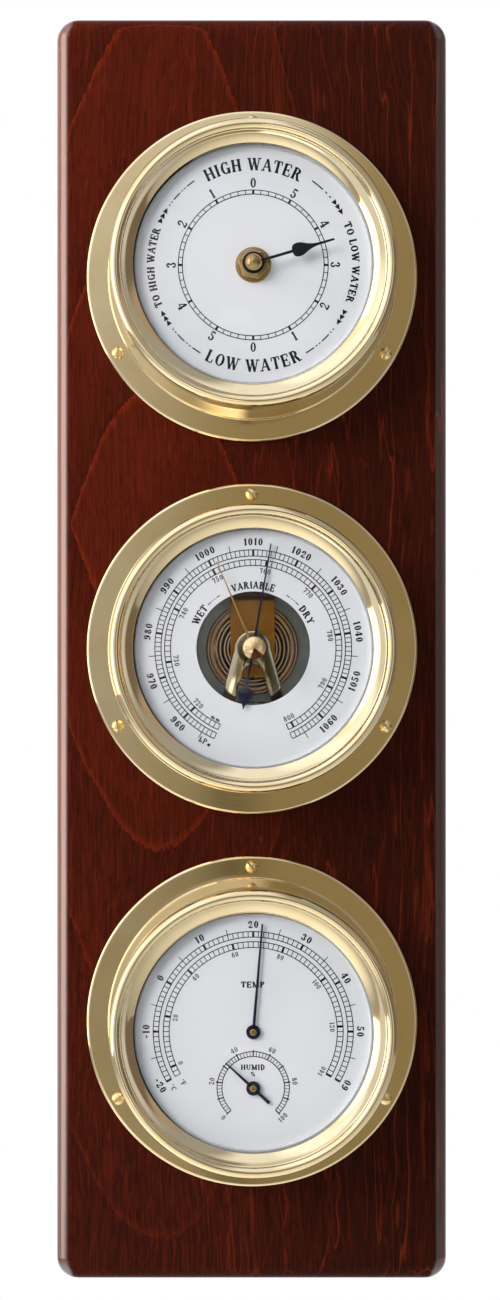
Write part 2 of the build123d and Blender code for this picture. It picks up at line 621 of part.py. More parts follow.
def hanger_screw_cutter(side):
    """Clear hole for a hanger screw."""
    return hanger_screw_shape(side, SEAT_CLEARANCE)


def hanger_screws():
    """The two wood screws of the hanger plate."""
    screws = []
    for side in (-1, 1):
        slot = Box(2 * HANGER_SCREW_HEAD_DIAMETER, 2 * HANGER_SCREW_SLOT_DEPTH, HANGER_SCREW_SLOT_WIDTH)
        screws.append(hanger_screw_shape(side, 0) - Pos(side * HANGER_SCREW_OFFSET, 0, 0) * slot)
    return Compound(children=screws)


def board():
    """Stained board with rounded corners and front edges, bored for what it carries."""
    middle = (0, -BOARD_THICKNESS / 2, BOARD_CENTRE)
    body = Pos(*middle) * Box(BOARD_WIDTH, BOARD_THICKNESS, BOARD_HEIGHT)
    body = fillet(body.edges().filter_by(Axis.Y), BOARD_CORNER_RADIUS)
    body = fillet(body.faces().sort_by(Axis.Y)[0].edges(), BOARD_EDGE_ROUND)
    pilot = CASE_SCREW_SHANK_DIAMETER + 2 * RUNNING_CLEARANCE
    pilot_depth = CASE_SCREW_SHANK_LENGTH - FLANGE_THICKNESS + SEAT_CLEARANCE
    for centre in (TIDE_CENTRE, BARO_CENTRE, THERMO_CENTRE):
        body -= board_hole(2 * ACCESS_HOLE_RADIUS, 0, centre, BOARD_THICKNESS + OVERRUN)
        for x, y in case_screw_places():
            body -= board_hole(pilot, x, centre + y, pilot_depth)
    recess = extrude(hanger_outline(SEAT_CLEARANCE), HANGER_THICKNESS + OVERRUN)
    body -= Pos(0, OVERRUN, 0) * Rot(90, 0, 0) * recess
    pocket_middle = (HANGER_ABOVE - HANGER_BELOW) / 2
    pocket_floor = -HANGER_THICKNESS - HANGER_POCKET_DEPTH
    body -= block(-HANGER_POCKET_WIDTH / 2, HANGER_POCKET_WIDTH / 2, pocket_floor, 0,
                  pocket_middle - HANGER_POCKET_HEIGHT / 2, pocket_middle + HANGER_POCKET_HEIGHT / 2)
    for side in (-1, 1):
        body -= hanger_screw_shape(side, RUNNING_CLEARANCE)
    return body


# Tide clock


def cover_posts():
    """Corner posts of the gear chamber that carry the cover."""
    reach_x = BAY_HALF_LENGTH - COVER_POST_DIAMETER / 2
    low = CHAMBER_LOW + COVER_POST_DIAMETER / 2
    high = CHAMBER_HIGH - COVER_POST_DIAMETER / 2
    return [(x, y) for x in (-reach_x, reach_x) for y in (low, high)]


def movement_case():
    """Moulded movement case: gear chamber above, battery bay below, both open at the rear."""
    half = BAY_HALF_LENGTH
    body = block(-half - MOVEMENT_WALL, half + MOVEMENT_WALL, BAY_LOW - MOVEMENT_WALL,
                 CHAMBER_HIGH + MOVEMENT_WALL, MOVEMENT_REAR, CASE_DEPTH)
    body &= rod(2 * (CASE_INNER_RADIUS - MOVING_CLEARANCE), MOVEMENT_REAR, CASE_DEPTH)
    rear = MOVEMENT_REAR - OVERRUN
    body -= block(-half, half, CHAMBER_LOW, CHAMBER_HIGH, rear, CHAMBER_FRONT)
    body -= block(-half, half, BAY_LOW, BAY_HIGH, rear, CHAMBER_FRONT)
    for x, y in cover_posts():
        body += rod(COVER_POST_DIAMETER, COVER_INNER, CHAMBER_FRONT, x, y)
    body -= rod(BUSH_DIAMETER + 2 * RUNNING_CLEARANCE, CHAMBER_FRONT - OVERRUN, CASE_DEPTH + OVERRUN)
    socket = SETTING_SHAFT_DIAMETER + 2 * RUNNING_CLEARANCE
    body -= rod(socket, CHAMBER_FRONT - OVERRUN, CHAMBER_FRONT + SETTING_SOCKET_DEPTH, *SETTING_PLACE)
    return body


def movement_cover():
    """Rear cover of the gear chamber, seated on the corner posts."""
    half = BAY_HALF_LENGTH - SEAT_CLEARANCE
    plate = block(-half, half, CHAMBER_LOW + SEAT_CLEARANCE, CHAMBER_HIGH - SEAT_CLEARANCE,
                  MOVEMENT_REAR, COVER_INNER)
    hole = SETTING_SHAFT_DIAMETER + 2 * RUNNING_CLEARANCE
    return plate - rod(hole, MOVEMENT_REAR - OVERRUN, COVER_INNER + OVERRUN, *SETTING_PLACE)


def centre_bush():
    """Threaded brass bush that passes through the dial, with its flange inside the case."""
    bush = rod(BUSH_DIAMETER, BUSH_LOW, BUSH_TOP) + rod(BUSH_FLANGE_DIAMETER, BUSH_LOW, CHAMBER_FRONT)
    bore = HAND_ARBOR_DIAMETER + 2 * RUNNING_CLEARANCE
    return bush - rod(bore, BUSH_LOW - OVERRUN, BUSH_TOP + OVERRUN)


def fixing_washer():
    """Brass washer under the nut."""
    hole = BUSH_DIAMETER / 2 + SEAT_CLEARANCE
    return ring(FIXING_WASHER_DIAMETER / 2, hole, DIAL_FACE, DIAL_FACE + FIXING_WASHER_THICKNESS)


def fixing_nut():
    """Hexagon nut that clamps the movement to the dial."""
    low = DIAL_FACE + FIXING_WASHER_THICKNESS
    high = low + FIXING_NUT_HEIGHT
    nut = Pos(0, 0, low) * extrude(RegularPolygon(FIXING_NUT_CORNERS / 2, 6), FIXING_NUT_HEIGHT)
    return nut - rod(BUSH_DIAMETER + 2 * SEAT_CLEARANCE, low - OVERRUN, high + OVERRUN)


def hand_arbor():
    """Arbor of the tide hand with its wheel."""
    top = HAND_TOP + HAND_CAP_SOCKET
    arbor = gear(WHEEL_TEETH, WHEEL_LOW, WHEEL_TOP) + rod(HAND_ARBOR_DIAMETER, WHEEL_LOW, HAND_LOW)
    return arbor + rod(HAND_SEAT_DIAMETER, HAND_LOW, top)


def meshed_pinion(angle):
    """Pinion at an angle round the hand wheel, turned so that its gap faces a tooth of the wheel."""
    x, y = around(0, 0, GEAR_DISTANCE, angle)
    half_tooth = 180 / PINION_TEETH
    wheel_phase = (angle % (360 / WHEEL_TEETH)) * WHEEL_TEETH / PINION_TEETH
    return Pos(x, y, 0) * Rot(0, 0, angle + 180 + half_tooth + wheel_phase) * gear(
        PINION_TEETH, PINION_LOW, PINION_TOP)


def setting_knob():
    """Rear setting knob on the shaft of its pinion."""
    x, y = SETTING_PLACE
    top = CHAMBER_FRONT + SETTING_SOCKET_DEPTH - SEAT_CLEARANCE
    knob_top = MOVEMENT_REAR - MOVING_CLEARANCE / 2
    knob = rod(SETTING_KNOB_DIAMETER, knob_top - SETTING_KNOB_HEIGHT, knob_top, x, y)
    shaft = rod(SETTING_SHAFT_DIAMETER, knob_top - SETTING_KNOB_HEIGHT, top, x, y)
    return knob + shaft + meshed_pinion(SETTING_ANGLE)


def motor():
    """Sealed stepping motor with its reduction train, seated on the cover."""
    x, y = MOTOR_PLACE
    half = MOTOR_SIZE / 2
    low = PINION_LOW - MOTOR_GAP
    body = block(x - half, x + half, y - half, y + half, COVER_INNER, low)
    room = rod(HAND_ARBOR_DIAMETER + 2 * MOVING_CLEARANCE, COVER_INNER - OVERRUN, low + OVERRUN)
    spindle = rod(MOTOR_SHAFT_DIAMETER, low, PINION_TOP, x, y)
    return body - room + spindle


def drive_pinion():
    """Pinion on the motor spindle that drives the hand wheel."""
    bore = MOTOR_SHAFT_DIAMETER + 2 * RUNNING_CLEARANCE
    return meshed_pinion(MOTOR_ANGLE) - rod(bore, PINION_LOW - OVERRUN, PINION_TOP + OVERRUN, *MOTOR_PLACE)


def battery():
    """Round cell lying across the bay."""
    half = BATTERY_LENGTH / 2
    cell = cross_rod(BATTERY_DIAMETER, -half, half - BATTERY_NUB_LENGTH, BATTERY_PLACE, BATTERY_HEIGHT)
    nub = cross_rod(BATTERY_NUB_DIAMETER, half - BATTERY_NUB_LENGTH, half, BATTERY_PLACE, BATTERY_HEIGHT)
    return cell + nub


def battery_contacts():
    """Sprung end contacts of the battery bay."""
    contacts = []
    for side in (-1, 1):
        outer = side * BAY_HALF_LENGTH
        inner = side * (BAY_HALF_LENGTH - CONTACT_THICKNESS)
        tip = side * (BAY_HALF_LENGTH - CONTACT_THICKNESS - CONTACT_DIMPLE)
        low = BATTERY_PLACE - CONTACT_WIDTH / 2
        strip = block(min(outer, inner), max(outer, inner), low, low + CONTACT_WIDTH,
                      MOVEMENT_REAR, CHAMBER_FRONT)
        dimple = cross_rod(CONTACT_DIMPLE_DIAMETER, min(inner, tip), max(inner, tip),
                           BATTERY_PLACE, BATTERY_HEIGHT)
        contacts.append(strip + dimple)
    return Compound(children=contacts)


def tide_hand():
    """Single spade hand with a round hub."""
    stem = TIDE_HAND_STEM_WIDTH / 2
    wide = TIDE_HAND_BLADE_WIDTH / 2
    blade_end = TIDE_HAND_LENGTH - TIDE_HAND_TIP_LENGTH
    blade_start = blade_end - TIDE_HAND_BLADE_LENGTH
    start = (stem, blade_start)
    belly = (wide, blade_start + TIDE_HAND_BLADE_BELLY)
    finish = (stem, blade_end)
    half_blade = make_face([
        Line((0, blade_start), start),
        TangentArc(start, belly, tangent=(1, 0)),
        Line(belly, finish),
        Line(finish, (0, blade_end)),
        Line((0, blade_end), (0, blade_start)),
    ])
    face = half_blade + mirror(half_blade, Plane.YZ)
    face += blade(TIDE_HAND_STEM_WIDTH, TIDE_HAND_STEM_WIDTH / 2, TIDE_HAND_LENGTH)
    face += Circle(TIDE_HAND_HUB_DIAMETER / 2)
    face -= Circle(HAND_SEAT_DIAMETER / 2 + RUNNING_CLEARANCE)
    return dial_turn(TIDE_HAND_ANGLE) * Pos(0, 0, HAND_LOW) * extrude(face, TIDE_HAND_THICKNESS)


def hand_cap():
    """Domed brass cap pressed on the arbor over the hand."""
    cap = rod(HAND_CAP_DIAMETER, HAND_TOP, HAND_CAP_TOP)
    crown = cap.edges().group_by(Axis.Z)[-1]
    cap = fillet(crown, min(HAND_CAP_HEIGHT, HAND_CAP_DIAMETER / 2) / 2)
    socket = HAND_SEAT_DIAMETER + 2 * RUNNING_CLEARANCE
    return cap - rod(socket, HAND_TOP - OVERRUN, HAND_TOP + HAND_CAP_SOCKET + SEAT_CLEARANCE)


# Aneroid barometer


def adjust_screw_place():
    """Height of the adjusting screw above the pivot, on the tail of the main spring."""
    return CAPSULE_DIAMETER / 2 + SPRING_BACK_GAP + SPRING_TAIL_REACH - ADJUST_SCREW_DIAMETER


def base_plate():
    """Round plate that closes the back of the barometer, trapped under the flange."""
    radius = CASE_INNER_RADIUS + BASE_PLATE_OVERHANG - SEAT_CLEARANCE
    plate = rod(2 * radius, 0, BASE_PLATE_THICKNESS)
    hole = ADJUST_SCREW_DIAMETER + 2 * RUNNING_CLEARANCE
    return plate - rod(hole, -OVERRUN, BASE_PLATE_THICKNESS + OVERRUN, 0, adjust_screw_place())


def capsule():
    """Evacuated capsule with rippled faces, its foot and its centre post."""
    neck = CAPSULE_POST_DIAMETER
    step = (CAPSULE_RADIUS - neck) / (2 * CAPSULE_RIPPLES)
    edges = []
    for height, direction in ((CAPSULE_TOP, 1), (CAPSULE_LOW, -1)):
        for index in range(2 * CAPSULE_RIPPLES):
            swell = CAPSULE_RIPPLE_HEIGHT / 2 * direction * (1 if index % 2 == 0 else -1)
            start = neck + index * step
            base = height - direction * CAPSULE_RIPPLE_HEIGHT / 2
            middle = (start + step / 2, base + swell)
            edges.append(ThreePointArc((start, base), middle, (start + step, base)))
        edges.append(Line((0, base), (neck, base)))
    top = CAPSULE_TOP - CAPSULE_RIPPLE_HEIGHT / 2
    low = CAPSULE_LOW + CAPSULE_RIPPLE_HEIGHT / 2
    edges.append(Line((CAPSULE_RADIUS, low), (CAPSULE_RADIUS, top)))
    edges.append(Line((0, low), (0, top)))
    body = turned(*edges)
    body += rod(CAPSULE_STAND_DIAMETER, BASE_PLATE_THICKNESS, (CAPSULE_LOW + CAPSULE_TOP) / 2)
    body += rod(CAPSULE_POST_DIAMETER, (CAPSULE_LOW + CAPSULE_TOP) / 2, STRAP_LOW)
    return body + rod(CAPSULE_NECK_DIAMETER, STRAP_LOW, STRAP_TOP + CAPSULE_NECK_STAND_OUT)


def main_spring():
    """C-shaped leaf spring from the base plate over the capsule, with a tail for the adjusting screw."""
    low = BASE_PLATE_THICKNESS
    back = SPRING_BACK + SPRING_STRAP_THICKNESS
    inner_bend = SPRING_BEND_RADIUS - SPRING_STRAP_THICKNESS
    tail = SPRING_BACK + SPRING_TAIL_REACH
    strap = block(0, SPRING_STRAP_WIDTH, -SPRING_FREE_LENGTH, back, low, STRAP_TOP)
    strap = fillet(strap.edges().filter_by(Axis.X).sort_by(Axis.Y)[-2:], SPRING_BEND_RADIUS)
    hollow = block(-OVERRUN, SPRING_STRAP_WIDTH + OVERRUN, -SPRING_FREE_LENGTH - OVERRUN, SPRING_BACK,
                   low + SPRING_STRAP_THICKNESS, STRAP_LOW)
    hollow = fillet(hollow.edges().filter_by(Axis.X).sort_by(Axis.Y)[-2:], inner_bend)
    strap -= hollow
    strap -= block(-OVERRUN, SPRING_STRAP_WIDTH + OVERRUN, -SPRING_FREE_LENGTH - OVERRUN,
                   SPRING_FOOT_REACH, low - OVERRUN, low + 2 * SPRING_STRAP_THICKNESS)
    strap += block(0, SPRING_STRAP_WIDTH, SPRING_FOOT_REACH, tail, low, low + SPRING_STRAP_THICKNESS)
    strap = Pos(-SPRING_STRAP_WIDTH / 2, 0, 0) * strap
    hole = CAPSULE_NECK_DIAMETER + 2 * RUNNING_CLEARANCE
    return strap - rod(hole, STRAP_LOW - OVERRUN, STRAP_TOP + OVERRUN)


def bridge():
    """A-shaped brass bridge over the capsule with the lower cock of the pointer arbor."""
    head = BRIDGE_HEAD_WIDTH / 2
    leg = BRIDGE_LEG_WIDTH
    arch = BRIDGE_ARCH_RADIUS
    shoulder = -BRIDGE_ARCH_DROP - arch
    outer = BRIDGE_FOOT_SPREAD + leg / 2
    inner = BRIDGE_FOOT_SPREAD - leg / 2
    face = Circle(head) + make_face(Polyline(
        (-head, 0), (head, 0), (outer, BRIDGE_FOOT_PLACE), (-outer, BRIDGE_FOOT_PLACE), close=True))
    face -= Pos(0, shoulder) * Circle(arch)
    gap = [(-arch, shoulder), (arch, shoulder), (inner, BRIDGE_FOOT_PLACE), (-inner, BRIDGE_FOOT_PLACE)]
    face -= make_face(Polyline(*gap, close=True))
    for x, y in BRIDGE_FEET:
        face += Pos(x, y) * Circle(BRIDGE_PILLAR_DIAMETER / 2)
    plate = Pos(0, 0, BRIDGE_HEIGHT) * extrude(face, BRIDGE_THICKNESS)
    hole = POINTER_ARBOR_DIAMETER + 2 * RUNNING_CLEARANCE
    cock = block(-head, head, -COCK_WIDTH / 2, COCK_WIDTH / 2, COCK_LOW, COCK_TOP)
    body = plate + cock
    for side in (-1, 1):
        body += rod(COCK_POST_DIAMETER, COCK_LOW, BRIDGE_HEIGHT + BRIDGE_THICKNESS / 2,
                    side * COCK_POST_PLACE)
    body -= rod(hole, COCK_TOP - COCK_THICKNESS / 2, BRIDGE_TOP + OVERRUN)
    screw = BRIDGE_SCREW_SHANK_DIAMETER + 2 * SEAT_CLEARANCE
    for x, y in BRIDGE_FEET:
        body -= rod(screw, BRIDGE_HEIGHT - OVERRUN, BRIDGE_TOP + OVERRUN, x, y)
    return body


def bridge_pillars():
    """Two pillars that carry the bridge on the base plate."""
    pillars = []
    bore = BRIDGE_SCREW_SHANK_DIAMETER + 2 * RUNNING_CLEARANCE
    bottom = BRIDGE_TOP - BRIDGE_SCREW_LENGTH - SEAT_CLEARANCE
    for x, y in BRIDGE_FEET:
        pillar = rod(BRIDGE_PILLAR_DIAMETER, BASE_PLATE_THICKNESS, BRIDGE_HEIGHT, x, y)
        pillars.append(pillar - rod(bore, bottom, BRIDGE_HEIGHT + OVERRUN, x, y))
    return Compound(children=pillars)


def bridge_screws():
    """Cheese-head screws of the bridge."""
    screws = []
    top = BRIDGE_TOP + BRIDGE_SCREW_HEAD_HEIGHT
    for x, y in BRIDGE_FEET:
        head = rod(BRIDGE_SCREW_HEAD_DIAMETER, BRIDGE_TOP, top, x, y)
        head = slotted(head, CASE_SCREW_SLOT_WIDTH, BRIDGE_SCREW_HEAD_HEIGHT / 2, top,
                       BRIDGE_SCREW_HEAD_DIAMETER, x, y, 0)
        shank = rod(BRIDGE_SCREW_SHANK_DIAMETER, BRIDGE_TOP - BRIDGE_SCREW_LENGTH, BRIDGE_TOP, x, y)
        screws.append(head + shank)
    return Compound(children=screws)


def hairspring():
    """Flat spiral spring on the pointer arbor, below the head of the bridge."""
    low = DRUM_TOP + DRUM_GAP
    pinned = COCK_POST_PLACE - COCK_POST_DIAMETER / 2 - HAIRSPRING_WIRE / 2 - RUNNING_CLEARANCE
    strip, _ = spiral_strip(HAIRSPRING_INNER_RADIUS, pinned, HAIRSPRING_HALF_TURNS, HAIRSPRING_WIRE,
                            low, low + HAIRSPRING_HEIGHT)
    return strip


def pointer_arbor():
    """Pointer arbor with the drum of the chain and the collet of the hairspring."""
    arbor = rod(POINTER_ARBOR_DIAMETER, COCK_TOP - COCK_THICKNESS / 2 + RUNNING_CLEARANCE, POINTER_TOP)
    collet_radius = HAIRSPRING_INNER_RADIUS - HAIRSPRING_WIRE / 2 - HAIRSPRING_COLLET_GAP
    collet_low = DRUM_TOP + DRUM_GAP
    arbor += rod(DRUM_DIAMETER, DRUM_LOW, collet_low)
    return arbor + rod(2 * collet_radius, collet_low, collet_low + HAIRSPRING_HEIGHT)


def pointer_collet():
    """Brass collet that grips the arbor under the pointer."""
    hole = POINTER_ARBOR_DIAMETER / 2 + RUNNING_CLEARANCE / 2
    return ring(COLLET_DIAMETER / 2, hole, POINTER_LOW - COLLET_HEIGHT, POINTER_LOW)


def baro_pointer():
    """Slim pointer with a spade tail."""
    half = BARO_POINTER_ROOT_WIDTH / 2
    wide = BARO_POINTER_SPADE_WIDTH / 2
    start = -BARO_POINTER_TAIL
    belly = start + BARO_POINTER_SPADE_LENGTH / 2
    neck = start + BARO_POINTER_SPADE_LENGTH
    half_spade = make_face([
        Line((0, start), (half / 2, start)),
        ThreePointArc((half / 2, start), (wide, belly), (half, neck)),
        Line((half, neck), (half, 0)),
        Line((half, 0), (0, 0)),
        Line((0, 0), (0, start)),
    ])
    face = half_spade + mirror(half_spade, Plane.YZ)
    face += blade(BARO_POINTER_ROOT_WIDTH, BARO_POINTER_TIP_WIDTH, BARO_POINTER_LENGTH)
    face += Circle(BARO_POINTER_HUB_DIAMETER / 2)
    face -= Circle(POINTER_ARBOR_DIAMETER / 2 + RUNNING_CLEARANCE / 2)
    return dial_turn(BARO_POINTER_ANGLE) * Pos(0, 0, POINTER_LOW) * extrude(face, POINTER_THICKNESS)


def rocker_shaft():
    """Rocker shaft with the tall arm that pulls the chain and the side arm at the lever."""
    reach = ROCKER_SPAN / 2 + ROCKER_SHAFT_STAND_OUT
    shaft = cross_rod(ROCKER_SHAFT_DIAMETER, -reach, reach, ROCKER_PLACE, ROCKER_HEIGHT)
    half = ROCKER_ARM_WIDTH / 2
    depth = ROCKER_ARM_DEPTH / 2
    tall = block(CHAIN_OFFSET - half, CHAIN_OFFSET + half, ROCKER_PLACE - depth, ROCKER_PLACE + depth,
                 ROCKER_HEIGHT, CHAIN_HEIGHT + half)
    side = block(-ROCKER_SIDE_ARM_OFFSET - half, -ROCKER_SIDE_ARM_OFFSET + half, ROCKER_PLACE - depth,
                 ROCKER_PLACE + depth, ROCKER_HEIGHT, STRAP_TOP + LEVER_THICKNESS)
    return shaft + tall + side


def rocker_bearings():
    """Two bearing posts of the rocker shaft."""
    posts = []
    half = ROCKER_BEARING_DEPTH / 2
    for side in (-1, 1):
        middle = side * ROCKER_SPAN / 2
        post = block(middle - ROCKER_BEARING_WIDTH / 2, middle + ROCKER_BEARING_WIDTH / 2,
                     ROCKER_PLACE - half, ROCKER_PLACE + half, BASE_PLATE_THICKNESS,
                     ROCKER_HEIGHT + ROCKER_BEARING_TOP)
        hole = cross_rod(ROCKER_SHAFT_DIAMETER + 2 * RUNNING_CLEARANCE, middle - ROCKER_BEARING_WIDTH,
                         middle + ROCKER_BEARING_WIDTH, ROCKER_PLACE, ROCKER_HEIGHT)
        posts.append(post - hole)
    return Compound(children=posts)


def transmission_lever():
    """Lever riveted to the free end of the main spring that reaches the rocker's side arm."""
    arm = ROCKER_SIDE_ARM_OFFSET + ROCKER_ARM_WIDTH / 2 + MOVING_CLEARANCE
    top = STRAP_TOP + LEVER_THICKNESS
    return block(-arm - LEVER_WIDTH, -arm, ROCKER_PLACE, -LEVER_ROOT, STRAP_TOP, top)


def chain():
    """Fine chain from the drum to the rocker's tall arm."""
    start = ROCKER_PLACE + ROCKER_ARM_DEPTH / 2 + MOVING_CLEARANCE / 2
    bar = Cylinder(CHAIN_DIAMETER / 2, CHAIN_TAIL - start, align=UP)
    return Pos(CHAIN_OFFSET, start, CHAIN_HEIGHT) * Rot(-90, 0, 0) * bar


def set_bush():
    """Brass bush in the hole of the glass, flanged outside."""
    inner = GLASS_APEX - GLASS_THICKNESS - SET_BUSH_INNER_REACH
    top = GLASS_APEX + SET_BUSH_FLANGE_THICKNESS
    bush = rod(SET_BUSH_DIAMETER, inner, top)
    bush += rod(SET_BUSH_FLANGE_DIAMETER, GLASS_APEX, top)
    return bush - rod(SET_STEM_DIAMETER + 2 * RUNNING_CLEARANCE, inner - OVERRUN, top + OVERRUN)


def set_knob():
    """Turned brass knob with a cone on its face, and the stem that carries the set hand."""
    rim = SET_KNOB_LOW + SET_KNOB_HEIGHT - SET_KNOB_CONE_HEIGHT
    knob = rod(SET_KNOB_DIAMETER, SET_KNOB_LOW, rim)
    knob = fillet(knob.edges().group_by(Axis.Z)[-1], SET_KNOB_ROUND)
    knob += Pos(0, 0, rim) * Cone(SET_KNOB_DIAMETER / 2 - SET_KNOB_ROUND, 0, SET_KNOB_CONE_HEIGHT, align=UP)
    return knob + rod(SET_STEM_DIAMETER, SET_HAND_LOW, SET_KNOB_LOW + SET_KNOB_HEIGHT / 2)


def set_hand():
    """Gilt set hand riveted to the stem of the knob."""
    face = blade(SET_HAND_ROOT_WIDTH, SET_HAND_TIP_WIDTH, SET_HAND_LENGTH)
    face += Circle(SET_HAND_HUB_DIAMETER / 2)
    face -= Circle(SET_STEM_DIAMETER / 2 + RUNNING_CLEARANCE / 2)
    return dial_turn(SET_HAND_ANGLE) * Pos(0, 0, SET_HAND_LOW) * extrude(face, SET_HAND_THICKNESS)


def adjust_screw():
    """Slotted adjusting screw reached through the board, its tip under the spring's tail."""
    y = adjust_screw_place()
    tip = BASE_PLATE_THICKNESS - RUNNING_CLEARANCE
    head_top = -SEAT_CLEARANCE
    head = rod(ADJUST_HEAD_DIAMETER, head_top - ADJUST_HEAD_THICKNESS, head_top, 0, y)
    slot = block(-ADJUST_HEAD_DIAMETER, ADJUST_HEAD_DIAMETER, y - ADJUST_SLOT_WIDTH / 2,
                 y + ADJUST_SLOT_WIDTH / 2, head_top - ADJUST_HEAD_THICKNESS - OVERRUN,
                 head_top - ADJUST_HEAD_THICKNESS + ADJUST_SLOT_DEPTH)
    return head - slot + rod(ADJUST_SCREW_DIAMETER, head_top, tip, 0, y)


# Thermometer and hygrometer


def coil(inner_radius, outer_radius, half_turns, drop):
    """Wound coil of one instrument and the place where its outer end is pinned."""
    strip, end = spiral_strip(inner_radius, outer_radius, half_turns, COIL_WIRE, COIL_LOW, COIL_TOP)
    return Pos(0, -drop, 0) * strip, (end.X, end.Y - drop)


def coil_stud(end):
    """Stud of the frame that stands just outside the end of a coil."""
    x, y = end
    away = math.copysign(COIL_STUD_DIAMETER / 2 + RUNNING_CLEARANCE, x)
    return rod(COIL_STUD_DIAMETER, FRAME_LOW, COIL_TOP, x + away, y)


def weather_frame(coil_ends):
    """Frame of the two coils: a plate on four pillars that stand behind the dial."""
    low = -HYGRO_DROP - FRAME_BELOW
    frame = block(-FRAME_HALF_WIDTH, FRAME_HALF_WIDTH, low, FRAME_ABOVE, FRAME_LOW, FRAME_TOP)
    inset_x = FRAME_HALF_WIDTH - FRAME_PILLAR_INSET
    for x in (-inset_x, inset_x):
        for y in (low + FRAME_PILLAR_INSET, FRAME_ABOVE - FRAME_PILLAR_INSET):
            frame += rod(FRAME_PILLAR_DIAMETER, FRAME_LOW, CASE_DEPTH, x, y)
    for end in coil_ends:
        frame += coil_stud(end)
    hole = ARBOR_DIAMETER + 2 * RUNNING_CLEARANCE
    for y in (0, -HYGRO_DROP):
        frame -= rod(hole, FRAME_LOW - OVERRUN, FRAME_TOP + OVERRUN, 0, y)
    return frame


def coil_arbor(inner_radius, drop):
    """Arbor of one coil: pivot in the frame, hub inside the coil, end that carries the needle."""
    hub = 2 * (inner_radius - COIL_WIRE / 2 - COIL_HUB_GAP)
    arbor = rod(ARBOR_DIAMETER, FRAME_LOW, NEEDLE_TOP + NEEDLE_EYELET_RISE, 0, -drop)
    return arbor + rod(hub, COIL_LOW, COIL_TOP, 0, -drop)


def needle(face, hub_diameter, angle, drop):
    """Pressed needle with a round hub, turned to its reading."""
    face += Circle(hub_diameter / 2)
    face -= Circle(ARBOR_DIAMETER / 2 + RUNNING_CLEARANCE / 2)
    return Pos(0, -drop, NEEDLE_LOW) * dial_turn(angle) * extrude(face, NEEDLE_THICKNESS)


def thermo_needle():
    """Long needle of the thermometer."""
    face = blade(THERMO_NEEDLE_ROOT_WIDTH, THERMO_NEEDLE_TIP_WIDTH, THERMO_NEEDLE_LENGTH)
    return needle(face, THERMO_NEEDLE_HUB_DIAMETER, THERMO_NEEDLE_ANGLE, 0)


def hygro_needle():
    """Short needle of the hygrometer with its widening tail."""
    face = blade(HYGRO_NEEDLE_ROOT_WIDTH, HYGRO_NEEDLE_TIP_WIDTH, HYGRO_NEEDLE_LENGTH)
    face += Rot(0, 0, 180) * blade(HYGRO_NEEDLE_ROOT_WIDTH, HYGRO_NEEDLE_TAIL_WIDTH, HYGRO_NEEDLE_TAIL)
    return needle(face, HYGRO_NEEDLE_HUB_DIAMETER, HYGRO_NEEDLE_ANGLE, HYGRO_DROP)


# Assembly

def common_pieces(prefix, rebate_depth, glass_hole, dial_holes):
    """The six pieces that every instrument has."""
    return {
        f"{prefix}_case": instrument_case(rebate_depth),
        f"{prefix}_case_screws": case_screws(),
        f"{prefix}_bezel": bezel(),
        f"{prefix}_glass": glass(glass_hole),
        f"{prefix}_glass_gasket": gasket(),
        f"{prefix}_dial": dial(dial_holes),
    }


def tide_clock():
    """All pieces of the tide clock."""
    pieces = common_pieces("tide", 0, 0, [(BUSH_DIAMETER + 2 * SEAT_CLEARANCE, 0, 0)])
    pieces.update({
        "tide_movement_case": movement_case(),
        "tide_movement_cover": movement_cover(),
        "tide_centre_bush": centre_bush(),
        "tide_fixing_washer": fixing_washer(),
        "tide_fixing_nut": fixing_nut(),
        "tide_motor": motor(),
        "tide_battery": battery(),
        "tide_battery_contacts": battery_contacts(),
        "tide_hand_arbor": hand_arbor(),
        "tide_drive_pinion": drive_pinion(),
        "tide_setting_knob": setting_knob(),
        "tide_hand": tide_hand(),
        "tide_hand_cap": hand_cap(),
    })
    return pieces


def barometer():
    """All pieces of the aneroid barometer."""
    glass_hole = SET_BUSH_DIAMETER + 2 * SEAT_CLEARANCE
    pieces = common_pieces("baro", BASE_PLATE_THICKNESS, glass_hole, [(DIAL_OPENING_DIAMETER, 0, 0)])
    pieces.update({
        "baro_base_plate": base_plate(),
        "baro_capsule": capsule(),
        "baro_main_spring": main_spring(),
        "baro_bridge": bridge(),
        "baro_bridge_pillars": bridge_pillars(),
        "baro_bridge_screws": bridge_screws(),
        "baro_hairspring": hairspring(),
        "baro_pointer_arbor": pointer_arbor(),
        "baro_pointer_collet": pointer_collet(),
        "baro_pointer": baro_pointer(),
        "baro_rocker_shaft": rocker_shaft(),
        "baro_rocker_bearings": rocker_bearings(),
        "baro_transmission_lever": transmission_lever(),
        "baro_chain": chain(),
        "baro_set_bush": set_bush(),
        "baro_set_knob": set_knob(),
        "baro_set_hand": set_hand(),
        "baro_adjust_screw": adjust_screw(),
    })
    return pieces


